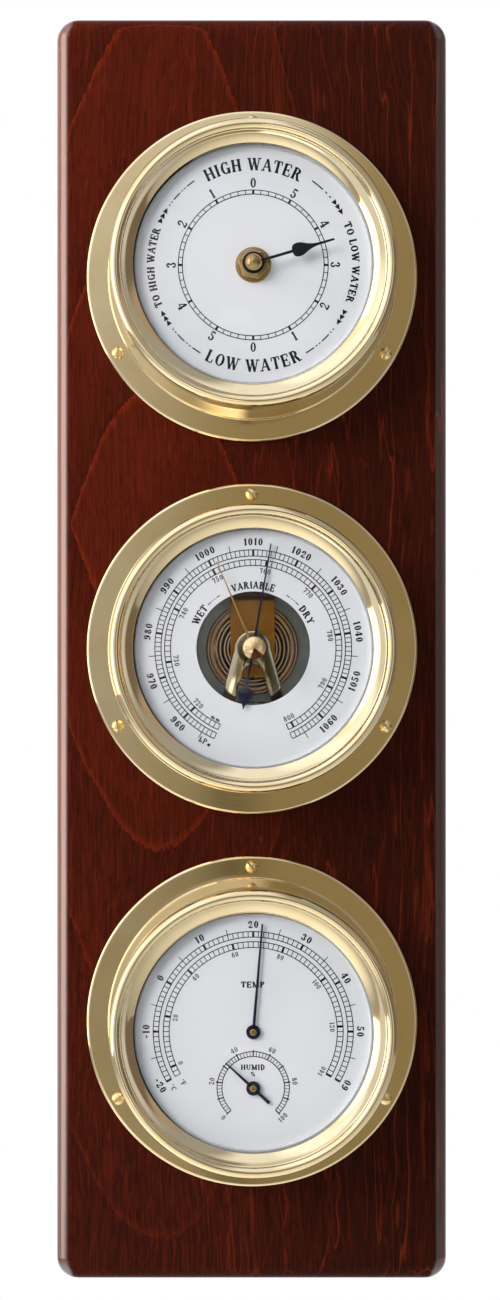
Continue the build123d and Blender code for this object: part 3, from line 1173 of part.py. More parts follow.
def thermometer():
    """All pieces of the thermometer and the hygrometer."""
    hole = ARBOR_DIAMETER + 2 * ARBOR_DIAL_CLEARANCE
    pieces = common_pieces("thermo", 0, 0, [(hole, 0, 0), (hole, 0, -HYGRO_DROP)])
    thermo_coil, thermo_end = coil(THERMO_COIL_INNER_RADIUS, THERMO_COIL_OUTER_RADIUS,
                                   THERMO_COIL_HALF_TURNS, 0)
    hygro_coil, hygro_end = coil(HYGRO_COIL_INNER_RADIUS, HYGRO_COIL_OUTER_RADIUS,
                                 HYGRO_COIL_HALF_TURNS, HYGRO_DROP)
    pieces.update({
        "thermo_frame": weather_frame([thermo_end, hygro_end]),
        "thermo_coil": thermo_coil,
        "thermo_arbor": coil_arbor(THERMO_COIL_INNER_RADIUS, 0),
        "thermo_pointer": thermo_needle(),
        "hygro_coil": hygro_coil,
        "hygro_arbor": coil_arbor(HYGRO_COIL_INNER_RADIUS, HYGRO_DROP),
        "hygro_pointer": hygro_needle(),
    })
    return pieces


def upright(shape, centre):
    """Stand an instrument's piece on the front of the board at its height."""
    return Pos(0, -BOARD_THICKNESS, centre) * Rot(90, 0, 0) * shape


nodes = {
    "base_board": board(),
    "hanger_plate": hanger_plate(),
    "hanger_screws": hanger_screws(),
}
for build, centre in ((tide_clock, TIDE_CENTRE), (barometer, BARO_CENTRE), (thermometer, THERMO_CENTRE)):
    for name, shape in build().items():
        nodes[name] = upright(shape, centre)

for name, shape in nodes.items():
    export_step(shape, f"parts/{name}.step")
print(f"{len(nodes)} nodes")
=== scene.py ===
import bmesh
import bpy
import json
import math
from mathutils import Matrix, Vector


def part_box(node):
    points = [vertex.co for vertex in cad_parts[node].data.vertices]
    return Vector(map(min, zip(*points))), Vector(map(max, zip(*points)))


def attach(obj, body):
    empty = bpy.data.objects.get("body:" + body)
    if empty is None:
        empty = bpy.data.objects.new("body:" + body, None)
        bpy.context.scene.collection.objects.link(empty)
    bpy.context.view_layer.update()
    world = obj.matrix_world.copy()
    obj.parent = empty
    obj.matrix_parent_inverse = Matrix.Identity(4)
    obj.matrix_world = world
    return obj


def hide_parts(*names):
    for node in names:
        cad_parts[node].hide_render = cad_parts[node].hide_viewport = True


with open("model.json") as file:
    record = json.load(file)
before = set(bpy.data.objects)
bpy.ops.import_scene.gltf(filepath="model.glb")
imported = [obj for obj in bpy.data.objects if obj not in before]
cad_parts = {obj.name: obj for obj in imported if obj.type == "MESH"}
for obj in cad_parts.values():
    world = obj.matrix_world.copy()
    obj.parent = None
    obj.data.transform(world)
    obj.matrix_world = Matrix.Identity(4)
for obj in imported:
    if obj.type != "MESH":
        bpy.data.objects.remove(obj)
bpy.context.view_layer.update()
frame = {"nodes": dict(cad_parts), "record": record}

# Wall weather station: tide clock, aneroid barometer, thermometer with hygrometer, on a stained board.
# Pieces are drawn in millimetres, each instrument lying on its back: x to the right, y to the top of
# the dial and z the height above the board. set_upright() then carries them to the frame in metres.

MM = 0.001
SCENE = bpy.context.scene
FRAME_BODY = "frame"
ROUND_STEPS = 192
SHARP_ANGLE = math.radians(32)
SUPPORT_GAP = 0.15
WELD_DISTANCE = 0.001


def low_corner(node):
    """Lowest corner of a CAD node in millimetres."""
    return Vector(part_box(node)[0]) / MM


def high_corner(node):
    """Highest corner of a CAD node in millimetres."""
    return Vector(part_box(node)[1]) / MM


def middle(node):
    """Middle of a CAD node's box in millimetres."""
    return (low_corner(node) + high_corner(node)) / 2


BOARD_FRONT = low_corner("base_board").y


def top_of(node):
    """Greatest height of a CAD node above the board."""
    return BOARD_FRONT - low_corner(node).y


def foot_of(node):
    """Least height of a CAD node above the board."""
    return BOARD_FRONT - high_corner(node).y


def reach_of(node):
    """Half the width of a CAD node."""
    return (high_corner(node).x - low_corner(node).x) / 2


INSTRUMENTS = ("tide", "baro", "thermo")
CENTRE = {name: middle(f"{name}_dial").z for name in INSTRUMENTS}
HYGRO_CENTRE = middle("hygro_arbor").z

# Brass case, bezel, glass and dial, shared by the three instruments
EDGE_ROUND = 0.2
FLANGE_RADIUS = reach_of("tide_case")
FLANGE_THICKNESS = 2.0
FLANGE_EDGE_ROUND = 0.9
CASE_FOOT_RADIUS = 45.4
CASE_FOOT_ROUND = 0.3
CASE_SHOULDER_ROUND = 0.06
CASE_COLLAR_RADIUS = 43.4
CASE_COLLAR_LENGTH = 3.0
CASE_INNER_RADIUS = 42.0
CASE_DEPTH = top_of("tide_case")
CASE_SCREW_COUNT = 3
DIAL_RADIUS = reach_of("tide_dial")
DIAL_BACK = foot_of("tide_dial")
DIAL_FACE = top_of("tide_dial")
DIAL_HOLE_ROUND = 0.05
GLASS_SEAT = foot_of("tide_glass")
GLASS_APEX = top_of("tide_glass")
GLASS_THICKNESS = 1.5
GLASS_RIM_RADIUS = reach_of("tide_glass")
GLASS_DOME_RADIUS = 36.5
GLASS_DOME_STEPS = 24
BEZEL_SKIRT_RADIUS = reach_of("tide_bezel")
BEZEL_SKIRT_WALL = 0.7
BEZEL_SKIRT_FOOT = foot_of("tide_bezel")
BEZEL_CREST_HEIGHT = top_of("tide_bezel")
BEZEL_CREST_RADIUS = 42.4
BEZEL_BEAD_RADIUS = 1.8
BEZEL_BEAD_END = 140
BEZEL_GROOVE_PULL = 0.3
BEZEL_BAND_RADIUS = 40.4
BEZEL_BAND_DROP = 1.25
BEZEL_BAND_SWELL = math.radians(14)
BEZEL_BAND_PULL = 1.2
BEZEL_LIP_RADIUS = 36.9
BEZEL_LIP_DROP = 2.7
BEZEL_LIP_THICKNESS = 1.2
SCREW_CIRCLE_RADIUS = (CASE_FOOT_RADIUS + FLANGE_RADIUS) / 2
SCREW_HEAD_RADIUS = 2.0
SCREW_HEAD_HEIGHT = 1.3
SCREW_SLOT_WIDTH = 0.7
SCREW_SLOT_DEPTH = 0.9
SCREW_SLOT_SHARE = 0.9
SCREW_DOME_POWER = 0.8
SCREW_STEPS = 48

# Holes in the dials and in the barometer's glass, two of them given as a share of a bush
TIDE_DIAL_HOLE = reach_of("tide_centre_bush") * 0.68
BARO_DIAL_OPENING = 17.45
THERMO_DIAL_HOLE = 1.2
BARO_GLASS_HOLE = reach_of("baro_set_bush") * 0.76

# Barometer bridge and chain
BRIDGE_THICKNESS = 1.2
BRIDGE_HEAD_RADIUS = 5.45
BRIDGE_ARCH_RADIUS = 3.4
BRIDGE_ARCH_DROP = 4.8
BRIDGE_FOLD_ANGLE = 35
BRIDGE_LEG_WIDTH = 3.8
BRIDGE_LEG_LENGTH = 20.0
BRIDGE_FOOT_SPREAD = 9.5
BRIDGE_PILLAR_RADIUS = 2.2
BRIDGE_LEG_FALL = 0.1
BRIDGE_LEAN = 0.025
BRIDGE_EDGE_ROUND = 0.22
COCK_HALF_WIDTH = 1.5
COCK_THICKNESS = 0.6
COCK_POST_RADIUS = 0.7
CHAIN_PITCH = 0.75
CHAIN_LINK_RADIUS = 0.14
CHAIN_WIRE_RADIUS = 0.055
CHAIN_LINK_SIDES = 12
CHAIN_WIRE_SIDES = 6
CHAIN_OVERLAP_SHARE = 0.6

# Wood figure, its lengths in metres: the sway of the grain, long ovals about an eye left of the middle,
# how far the outer one reaches from the eye, the steepness, spacing and raggedness of the ovals, their
# slant through the board, and the depth of the pores
WOOD_SWAY = 0.009
WOOD_HEART = 0.025
WOOD_EYE = -0.136
WOOD_OVAL_REACH = 0.1665
WOOD_ARCH_STEEPNESS = 50.0
WOOD_ARCH_SPACING = 0.062
WOOD_RAGGED = 0.0018
WOOD_SLANT = 14.0
WOOD_PORE_DEPTH = 0.0002

# Depth of fine grain in metres, how brushing is drawn out along z, and the start of the cell's
# copper-coloured end, in metres from its middle
GRAIN_DEPTH = 0.0001
BRUSH_STRETCH = (3000.0, 3000.0, 90.0)
CELL_COLLAR = 0.012

# Dial printing
INK_THICKNESS = 0.02
INK_HEIGHT = DIAL_FACE + INK_THICKNESS / 2
TRACK_LINE = 0.29
FINE_LINE = 0.25
BOLD_TICK = 0.7
BOLD_OVERRUN = 0.1
FLIP_ANGLE = 96
ARC_STEP_ANGLE = 2
ARC_LEAST_STEPS = 2

# Where the hands stand, clockwise from the top in degrees
TIDE_HAND_ANGLE = 73.8
BARO_POINTER_ANGLE = 9.6
SET_HAND_ANGLE = -23.0
THERMO_NEEDLE_ANGLE = 4.8
HYGRO_NEEDLE_ANGLE = -47.5


def set_upright(centre):
    """Matrix from an instrument's own millimetres to the upright frame in metres."""
    stand = Matrix.Translation((0, BOARD_FRONT, centre)) @ Matrix.Rotation(math.radians(90), 4, "X")
    return Matrix.Scale(MM, 4) @ stand


def clockwise(angle):
    """Turn about the dial's axis, clockwise from the top in degrees."""
    return Matrix.Rotation(-math.radians(angle), 4, "Z")


def on_dial(radius, angle):
    """Point of the dial at a radius and a clockwise angle from the top."""
    turn = math.radians(angle)
    return Vector((radius * math.sin(turn), radius * math.cos(turn)))


# Mesh making

def rounded(corners, steps=5):
    """Closed outline through (x, y, radius) corners, each rounded by an arc."""
    outline = []
    for index, (x, y, radius) in enumerate(corners):
        here = Vector((x, y))
        back = Vector(corners[index - 1][:2]) - here
        ahead = Vector(corners[(index + 1) % len(corners)][:2]) - here
        if radius == 0:
            outline.append((x, y))
            continue
        half = back.angle(ahead) / 2
        reach = min(radius / math.tan(half), back.length / 2, ahead.length / 2)
        radius = reach * math.tan(half)
        bisector = (back.normalized() + ahead.normalized()).normalized()
        centre = here + bisector * radius / math.sin(half)
        start = here + back.normalized() * reach - centre
        finish = here + ahead.normalized() * reach - centre
        sweep = start.angle_signed(finish)
        for step in range(steps + 1):
            turn = Matrix.Rotation(-sweep * step / steps, 2)
            outline.append(tuple(centre + turn @ start))
    return outline


def arc_points(centre_x, centre_y, radius, start, finish, steps):
    """Points of an arc, its angles in degrees counter-clockwise from the right."""
    points = []
    for step in range(steps + 1):
        turn = math.radians(start + (finish - start) * step / steps)
        points.append((centre_x + radius * math.cos(turn), centre_y + radius * math.sin(turn)))
    return points


def curve_points(start, first_pull, second_pull, finish, steps=14):
    """Points of a cubic curve between two ends with two pulls."""
    points = []
    for step in range(steps + 1):
        t = step / steps
        weights = ((1 - t) ** 3, 3 * t * (1 - t) ** 2, 3 * t * t * (1 - t), t ** 3)
        corners = (start, first_pull, second_pull, finish)
        points.append(tuple(sum(w * c[axis] for w, c in zip(weights, corners)) for axis in (0, 1)))
    return points


def mirrored(right):
    """Closed outline of a hand from the points of its right side."""
    return list(dict.fromkeys(right + [(-x, y) for x, y in right[::-1]]))


def supported(profile):
    """The profile with a point close to each end of its long straight runs, so that they shade flat."""
    points = []
    for here, ahead in zip(profile, profile[1:] + profile[:1]):
        points.append(tuple(here))
        run = Vector(ahead) - Vector(here)
        if run.length > 4 * SUPPORT_GAP and here[0] > 0 and ahead[0] > 0:
            step = run.normalized() * SUPPORT_GAP
            points += [tuple(Vector(here) + step), tuple(Vector(ahead) - step)]
    return points


def lathe(profile, steps=ROUND_STEPS):
    """Closed profile of (radius, height) points turned about the dial's axis."""
    turned = bmesh.new()
    rings = []
    for radius, height in supported(profile):
        count = steps if radius > 0 else 1
        ring = []
        for step in range(count):
            angle = 2 * math.pi * step / steps
            ring.append(turned.verts.new((radius * math.cos(angle), radius * math.sin(angle), height)))
        rings.append(ring)
    for ring, following in zip(rings, rings[1:] + rings[:1]):
        if len(ring) == 1 and len(following) == 1:
            continue
        for step in range(steps):
            ahead = (step + 1) % steps
            corners = [ring[step % len(ring)], ring[ahead % len(ring)],
                       following[ahead % len(following)], following[step % len(following)]]
            turned.faces.new(list(dict.fromkeys(corners)))
    bmesh.ops.recalc_face_normals(turned, faces=turned.faces)
    return turned


def hub_shape(bore, radius, low, high, foot_round=0.05, top_round=0.1, bore_round=0, steps=64):
    """Turned ring between two heights: the hub of a hand, or a dial."""
    return lathe(rounded([(bore, low, 0), (radius, low, foot_round), (radius, high, top_round),
                          (bore, high, bore_round)]), steps)


def raised_corners(extruded):
    """Corners among the new geometry of an extrusion."""
    return [item for item in extruded["geom"] if isinstance(item, bmesh.types.BMVert)]


def plate(outline, low, high, bevel):
    """Flat plate of an outline between two heights, its rims bevelled."""
    cut = bmesh.new()
    base = cut.faces.new([cut.verts.new((x, y, low)) for x, y in outline])
    for corner in raised_corners(bmesh.ops.extrude_face_region(cut, geom=[base])):
        corner.co.z = high
    bmesh.ops.recalc_face_normals(cut, faces=cut.faces)
    rims = [edge for edge in cut.edges if edge.verts[0].co.z == edge.verts[1].co.z]
    bmesh.ops.bevel(cut, geom=rims, offset=bevel, segments=2, affect="EDGES", profile=0.5)
    return cut


def moved(shape, matrix):
    """The same mesh, carried by a matrix."""
    bmesh.ops.transform(shape, matrix=matrix, verts=shape.verts)
    return shape


def joined(*shapes):
    """Several meshes as one."""
    whole = bmesh.new()
    for shape in shapes:
        part = bpy.data.meshes.new("part")
        shape.to_mesh(part)
        shape.free()
        whole.from_mesh(part)
        bpy.data.meshes.remove(part)
    return whole


def add_piece(name, shape, centre, slot, body, node=None, finish=None):
    """Sets a mesh upright on its body, in its slot's finish or another, in place of a CAD node."""
    moved(shape, set_upright(centre))
    mesh = bpy.data.meshes.new(name)
    shape.to_mesh(mesh)
    shape.free()
    mesh.materials.clear()
    mesh.materials.append(finish or FINISH[slot])
    mesh.shade_smooth()
    mesh.set_sharp_from_angle(angle=SHARP_ANGLE)
    piece = bpy.data.objects.new(name, mesh)
    SCENE.collection.objects.link(piece)
    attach(piece, body)
    if node:
        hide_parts(node)


# Node trees

NUMBER = "NodeSocketFloat"
WHOLE_NUMBER = "NodeSocketInt"
VECTOR = "NodeSocketVector"
SHAPE = "NodeSocketGeometry"
MATERIAL = "NodeSocketMaterial"


class Wiring:
    """A node tree with short ways to add to it. Any value may be another node's output."""

    def __init__(self, tree):
        self.tree = tree

    def add(self, kind, inputs=None, **settings):
        """New node with its settings and inputs."""
        made = self.tree.nodes.new(kind)
        for key, value in settings.items():
            setattr(made, key, value)
        for key, value in (inputs or {}).items():
            if isinstance(value, bpy.types.NodeSocket):
                self.tree.links.new(value, made.inputs[key])
            else:
                made.inputs[key].default_value = value
        return made

    def feed(self, node, **outputs):
        """Links outputs to the named inputs of a node."""
        for key, output in outputs.items():
            self.tree.links.new(output, node.inputs[key.replace("_", " ")])

    def sockets(self, inputs, outputs):
        """Named sockets of a group, given as name and kind, or for an input name, kind and first value."""
        for name, kind, *value in inputs:
            socket = self.tree.interface.new_socket(name=name, in_out="INPUT", socket_type=kind)
            if value:
                socket.default_value = value[0]
        for name, kind in outputs:
            self.tree.interface.new_socket(name=name, in_out="OUTPUT", socket_type=kind)
        return self.tree.nodes.new("NodeGroupInput").outputs, self.tree.nodes.new("NodeGroupOutput")

    def math(self, operation, *values):
        """Result of a math node."""
        return self.add("ShaderNodeMath", dict(enumerate(values)), operation=operation).outputs[0]

    def times(self, value, *others):
        """Product of values."""
        for other in others:
            value = self.math("MULTIPLY", value, other)
        return value

    def plus(self, first, second):
        """Sum of two values."""
        return self.math("ADD", first, second)

    def minus(self, first, second):
        """Difference of two values."""
        return self.math("SUBTRACT", first, second)

    def size(self, value):
        """Value without its sign."""
        return self.math("ABSOLUTE", value)

    def greater(self, first, second):
        """Greater of two values."""
        return self.math("MAXIMUM", first, second)

    def vector(self, operation, first, second):
        """Result of a vector operation."""
        return self.add("ShaderNodeVectorMath", {0: first, 1: second}, operation=operation).outputs[0]

    def length(self, vector):
        """Length of a vector."""
        return self.add("ShaderNodeVectorMath", {0: vector}, operation="LENGTH").outputs["Value"]

    def axes(self, vector):
        """X, Y and Z of a vector."""
        return self.add("ShaderNodeSeparateXYZ", {0: vector}).outputs

    def point(self, x=0.0, y=0.0, z=0.0):
        """Vector of three values."""
        return self.add("ShaderNodeCombineXYZ", {"X": x, "Y": y, "Z": z}).outputs[0]

    def place(self):
        """Place on the object."""
        return self.add("ShaderNodeTexCoord").outputs["Object"]

    def from_centre(self, centre):
        """Place on the object, measured from an instrument's centre in millimetres."""
        return self.vector("SUBTRACT", self.place(), (0, 0, centre * MM))

    def noise(self, place, scale, detail):
        """Outputs of a noise in space."""
        return self.add("ShaderNodeTexNoise", {"Vector": place, "Scale": scale, "Detail": detail}).outputs

    def noise_along(self, place, scale, detail):
        """Noise along a line."""
        return self.add("ShaderNodeTexNoise", {"W": place, "Scale": scale, "Detail": detail},
                        noise_dimensions="1D").outputs[0]

    def ramp(self, value, start, finish, low=0.0, high=1.0, kind="LINEAR"):
        """Passage from a low to a high level while a value goes from start to finish."""
        return self.add("ShaderNodeMapRange", {0: value, 1: start, 2: finish, 3: low, 4: high},
                        interpolation_type=kind).outputs[0]

    def between(self, share, low, high):
        """Share of 0 to 1 carried to a range."""
        return self.ramp(share, 0.0, 1.0, low, high)

    def level(self, mask, first, second):
        """Level that gives way to another where a mask is one."""
        return self.add("ShaderNodeMix", {0: mask, 2: first, 3: second}, data_type="FLOAT").outputs[0]

    def blend(self, mask, first, second):
        """Colour that gives way to another where a mask is one."""
        return self.add("ShaderNodeMix", {0: mask, 6: first, 7: second}, data_type="RGBA").outputs[2]

    def group(self, group, **values):
        """Outputs of a shader group placed with its own values."""
        inputs = {key.replace("_", " "): value for key, value in values.items()}
        return self.add("ShaderNodeGroup", inputs, node_tree=group).outputs

    def relief(self, shader, height, strength, distance):
        """Relief of a shader from a height."""
        bump = self.add("ShaderNodeBump", {"Height": height, "Strength": strength, "Distance": distance})
        self.feed(shader, Normal=bump.outputs[0])

    def points(self, count, position):
        """Points of a geometry tree."""
        return self.add("GeometryNodePoints", {"Count": count, "Position": position}).outputs[0]

    def clockwise_place(self, angle, radius):
        """Position at a radius and a clockwise angle, with the turn that faces outwards."""
        turn = self.math("RADIANS", angle)
        position = self.point(self.times(self.math("SINE", turn), radius),
                              self.times(self.math("COSINE", turn), radius))
        return position, self.point(z=self.times(turn, -1.0))

    def plant(self, end, points, shape, turn, material, scale=(1.0, 1.0, 1.0)):
        """Ends a geometry tree: copies of a shape on points, made real and given their material."""
        copies = self.add("GeometryNodeInstanceOnPoints",
                          {"Points": points, "Instance": shape, "Rotation": turn, "Scale": scale})
        real = self.add("GeometryNodeRealizeInstances", {"Geometry": copies.outputs[0]})
        dressed = self.add("GeometryNodeSetMaterial", {"Geometry": real.outputs[0], "Material": material})
        self.feed(end, Geometry=dressed.outputs[0])


def new_geometry_tree(name, **kinds):
    """Geometry tree with its named inputs, the last of them the material."""
    nodes = Wiring(bpy.data.node_groups.new(name, "GeometryNodeTree"))
    sizes = [(key.replace("_", " "), kind) for key, kind in kinds.items()]
    given, end = nodes.sockets([("Geometry", SHAPE), *sizes, ("Material", MATERIAL)], [("Geometry", SHAPE)])
    return nodes, given, end


def make_ring_of_marks():
    """Geometry tree: a run of printed ticks along a circle."""
    nodes, given, end = new_geometry_tree(
        "ring_of_marks", Count=WHOLE_NUMBER, Radius=NUMBER, Start=NUMBER, Step=NUMBER, Length=NUMBER,
        Width=NUMBER, Thickness=NUMBER)
    index = nodes.add("GeometryNodeInputIndex").outputs[0]
    angle = nodes.plus(nodes.times(index, given["Step"]), given["Start"])
    position, facing = nodes.clockwise_place(angle, given["Radius"])
    points = nodes.points(given["Count"], position)
    size = nodes.point(given["Width"], given["Length"], given["Thickness"])
    tick = nodes.add("GeometryNodeMeshCube", {"Size": size}).outputs[0]
    nodes.plant(end, points, tick, facing, given["Material"])
    return nodes.tree


def make_ring_of_screws():
    """Geometry tree: copies of a screw on a circle, each turned as it came when it was tightened."""
    nodes, given, end = new_geometry_tree(
        "ring_of_screws", Count=WHOLE_NUMBER, Radius=NUMBER, Height=NUMBER, Seed=WHOLE_NUMBER)
    index = nodes.add("GeometryNodeInputIndex").outputs[0]
    step = nodes.math("DIVIDE", 360.0, given["Count"])
    position, _ = nodes.clockwise_place(nodes.times(index, step), given["Radius"])
    points = nodes.points(given["Count"], position)
    lifted = nodes.add("GeometryNodeSetPosition",
                       {"Geometry": points, "Offset": nodes.point(z=given["Height"])}).outputs[0]
    chance = nodes.add("FunctionNodeRandomValue", {"ID": index, "Seed": given["Seed"]}, data_type="FLOAT")
    turn = nodes.times(chance.outputs["Value"], math.pi)
    nodes.plant(end, lifted, given["Geometry"], nodes.point(z=turn), given["Material"])
    return nodes.tree


def make_run_of_links():
    """Geometry tree: oval chain links along a straight run, each a quarter turn from the last."""
    nodes, given, end = new_geometry_tree(
        "run_of_links", Count=WHOLE_NUMBER, Pitch=NUMBER, Link_Radius=NUMBER, Wire_Radius=NUMBER)
    index = nodes.add("GeometryNodeInputIndex").outputs[0]
    along = nodes.times(nodes.plus(index, 0.5), given["Pitch"])
    points = nodes.points(given["Count"], nodes.point(y=along))
    circle = "GeometryNodeCurvePrimitiveCircle"
    hoop = nodes.add(circle, {"Resolution": CHAIN_LINK_SIDES, "Radius": given["Link Radius"]}).outputs[0]
    wire = nodes.add(circle, {"Resolution": CHAIN_WIRE_SIDES, "Radius": given["Wire Radius"]}).outputs[0]
    link = nodes.add("GeometryNodeCurveToMesh", {"Curve": hoop, "Profile Curve": wire}).outputs[0]
    half_length = nodes.times(given["Pitch"], CHAIN_OVERLAP_SHARE)
    scale = nodes.point(1.0, nodes.math("DIVIDE", half_length, given["Link Radius"]), 1.0)
    quarter = nodes.point(y=nodes.times(index, math.pi / 2))
    nodes.plant(end, points, link, quarter, given["Material"], scale)
    return nodes.tree


def grown(tree, seed_shape=None, **values):
    """Plain mesh that a geometry tree grows from a seed shape and its named inputs."""
    seed = bpy.data.meshes.new("seed")
    if seed_shape is not None:
        seed_shape.to_mesh(seed)
        seed_shape.free()
    holder = bpy.data.objects.new("seed", seed)
    SCENE.collection.objects.link(holder)
    growth = holder.modifiers.new("growth", "NODES")
    growth.node_group = tree
    for item in tree.interface.items_tree:
        key = item.name.replace(" ", "_")
        if item.in_out == "INPUT" and key in values:
            growth[item.identifier] = values[key]
    evaluated = holder.evaluated_get(bpy.context.evaluated_depsgraph_get())
    mesh = bpy.data.meshes.new_from_object(evaluated)
    holder.modifiers.remove(growth)
    bpy.data.objects.remove(holder)
    shape = bmesh.new()
    shape.from_mesh(mesh)
    bpy.data.meshes.remove(mesh)
    return shape


RING_OF_MARKS = make_ring_of_marks()
RING_OF_SCREWS = make_ring_of_screws()
RUN_OF_LINKS = make_run_of_links()


# Shader groups that several finishes share

def new_shader_group(name, inputs, *outputs):
    """Shader group with its named inputs, and outputs that are all values."""
    nodes = Wiring(bpy.data.node_groups.new(name, "ShaderNodeTree"))
    given, end = nodes.sockets(inputs, [(output, NUMBER) for output in outputs])
    return nodes, given, end


def make_turning_marks():
    """Fine rings left by the lathe about an axis through a centre, as a value round one half."""
    nodes, given, end = new_shader_group("turning_marks", [("Centre", VECTOR), ("Rings per Metre", NUMBER)],
                                         "Rings")
    offset = nodes.vector("SUBTRACT", nodes.place(), given["Centre"])
    radius = nodes.length(nodes.vector("MULTIPLY", offset, (1, 0, 1)))
    along = nodes.times(nodes.plus(radius, nodes.axes(offset)["Y"]), given["Rings per Metre"])
    nodes.feed(end, Rings=nodes.noise_along(along, 1.0, 2.0))
    return nodes.tree


def make_tarnish():
    """Soft cloudy patches with fine specks, as a mask for dulled metal and handled lacquer."""
    nodes, given, end = new_shader_group("tarnish", [("Scale", NUMBER, 60.0), ("Specks", NUMBER, 900.0)],
                                         "Clouds", "Specks")
    here = nodes.place()
    cloud = nodes.noise(here, given["Scale"], 4.0)[0]
    speck = nodes.noise(here, given["Specks"], 2.0)[0]
    nodes.feed(end, Clouds=nodes.ramp(cloud, 0.3, 0.7), Specks=nodes.ramp(speck, 0.62, 0.75))
    return nodes.tree


def make_brushing():
    """Straight fine scratches along one axis of a surface."""
    nodes, given, end = new_shader_group("brushing", [("Stretch", VECTOR)], "Scratches")
    drawn = nodes.vector("MULTIPLY", nodes.place(), given["Stretch"])
    nodes.feed(end, Scratches=nodes.noise(drawn, 1.0, 3.0)[0])
    return nodes.tree


TURNING_MARKS = make_turning_marks()
TARNISH = make_tarnish()
BRUSHING = make_brushing()


# Finishes

def linear(level):
    """Display level from 0 to 255 as a linear value."""
    level /= 255
    return level / 12.92 if level <= 0.04045 else ((level + 0.055) / 1.055) ** 2.4


def colour(red, green, blue):
    """Display colour as linear red, green, blue and full alpha."""
    return linear(red), linear(green), linear(blue), 1.0


def new_finish(name, **sockets):
    """Empty material with a principled shader and its plain socket values."""
    material = bpy.data.materials.new(name)
    material.use_nodes = True
    nodes = Wiring(material.node_tree)
    shader = nodes.tree.nodes["Principled BSDF"]
    for key, value in sockets.items():
        shader.inputs[key.replace("_", " ")].default_value = value
    return material, nodes, shader


def turned_metal(name, bright, dull, centre, roughness, rings=2500.0, relief=0.05, anisotropy=0.0):
    """Lathe-turned metal with faint rings and a little tarnish."""
    material, nodes, shader = new_finish(name, Metallic=1.0, Anisotropic=anisotropy)
    marks = nodes.group(TURNING_MARKS, Centre=(0, 0, centre * MM), Rings_per_Metre=rings)["Rings"]
    clouds = nodes.group(TARNISH)["Clouds"]
    uneven = nodes.times(nodes.plus(marks, clouds), 0.5)
    nodes.feed(shader, Base_Color=nodes.blend(clouds, colour(*bright), colour(*dull)),
               Roughness=nodes.between(uneven, *roughness))
    nodes.relief(shader, marks, relief, GRAIN_DEPTH)
    return material


def brushed_metal(name, bright, dull, roughness):
    """Rolled or drawn metal with straight scratches and a little tarnish."""
    material, nodes, shader = new_finish(name, Metallic=1.0)
    scratches = nodes.group(BRUSHING, Stretch=BRUSH_STRETCH)["Scratches"]
    clouds = nodes.group(TARNISH, Scale=140.0)["Clouds"]
    nodes.feed(shader, Base_Color=nodes.blend(clouds, colour(*bright), colour(*dull)),
               Roughness=nodes.between(scratches, *roughness))
    nodes.relief(shader, scratches, 0.1, GRAIN_DEPTH)
    return material


def moulded(name, tone, shade, roughness, relief=0.05, shine=0.5):
    """Moulded plastic, rubber or paint with a fine grain."""
    material, nodes, shader = new_finish(name, Specular_IOR_Level=shine)
    patches = nodes.group(TARNISH, Scale=220.0, Specks=2600.0)
    nodes.feed(shader, Base_Color=nodes.blend(patches["Clouds"], colour(*tone), colour(*shade)),
               Roughness=nodes.between(patches["Clouds"], *roughness))
    nodes.relief(shader, patches["Specks"], relief, GRAIN_DEPTH)
    return material


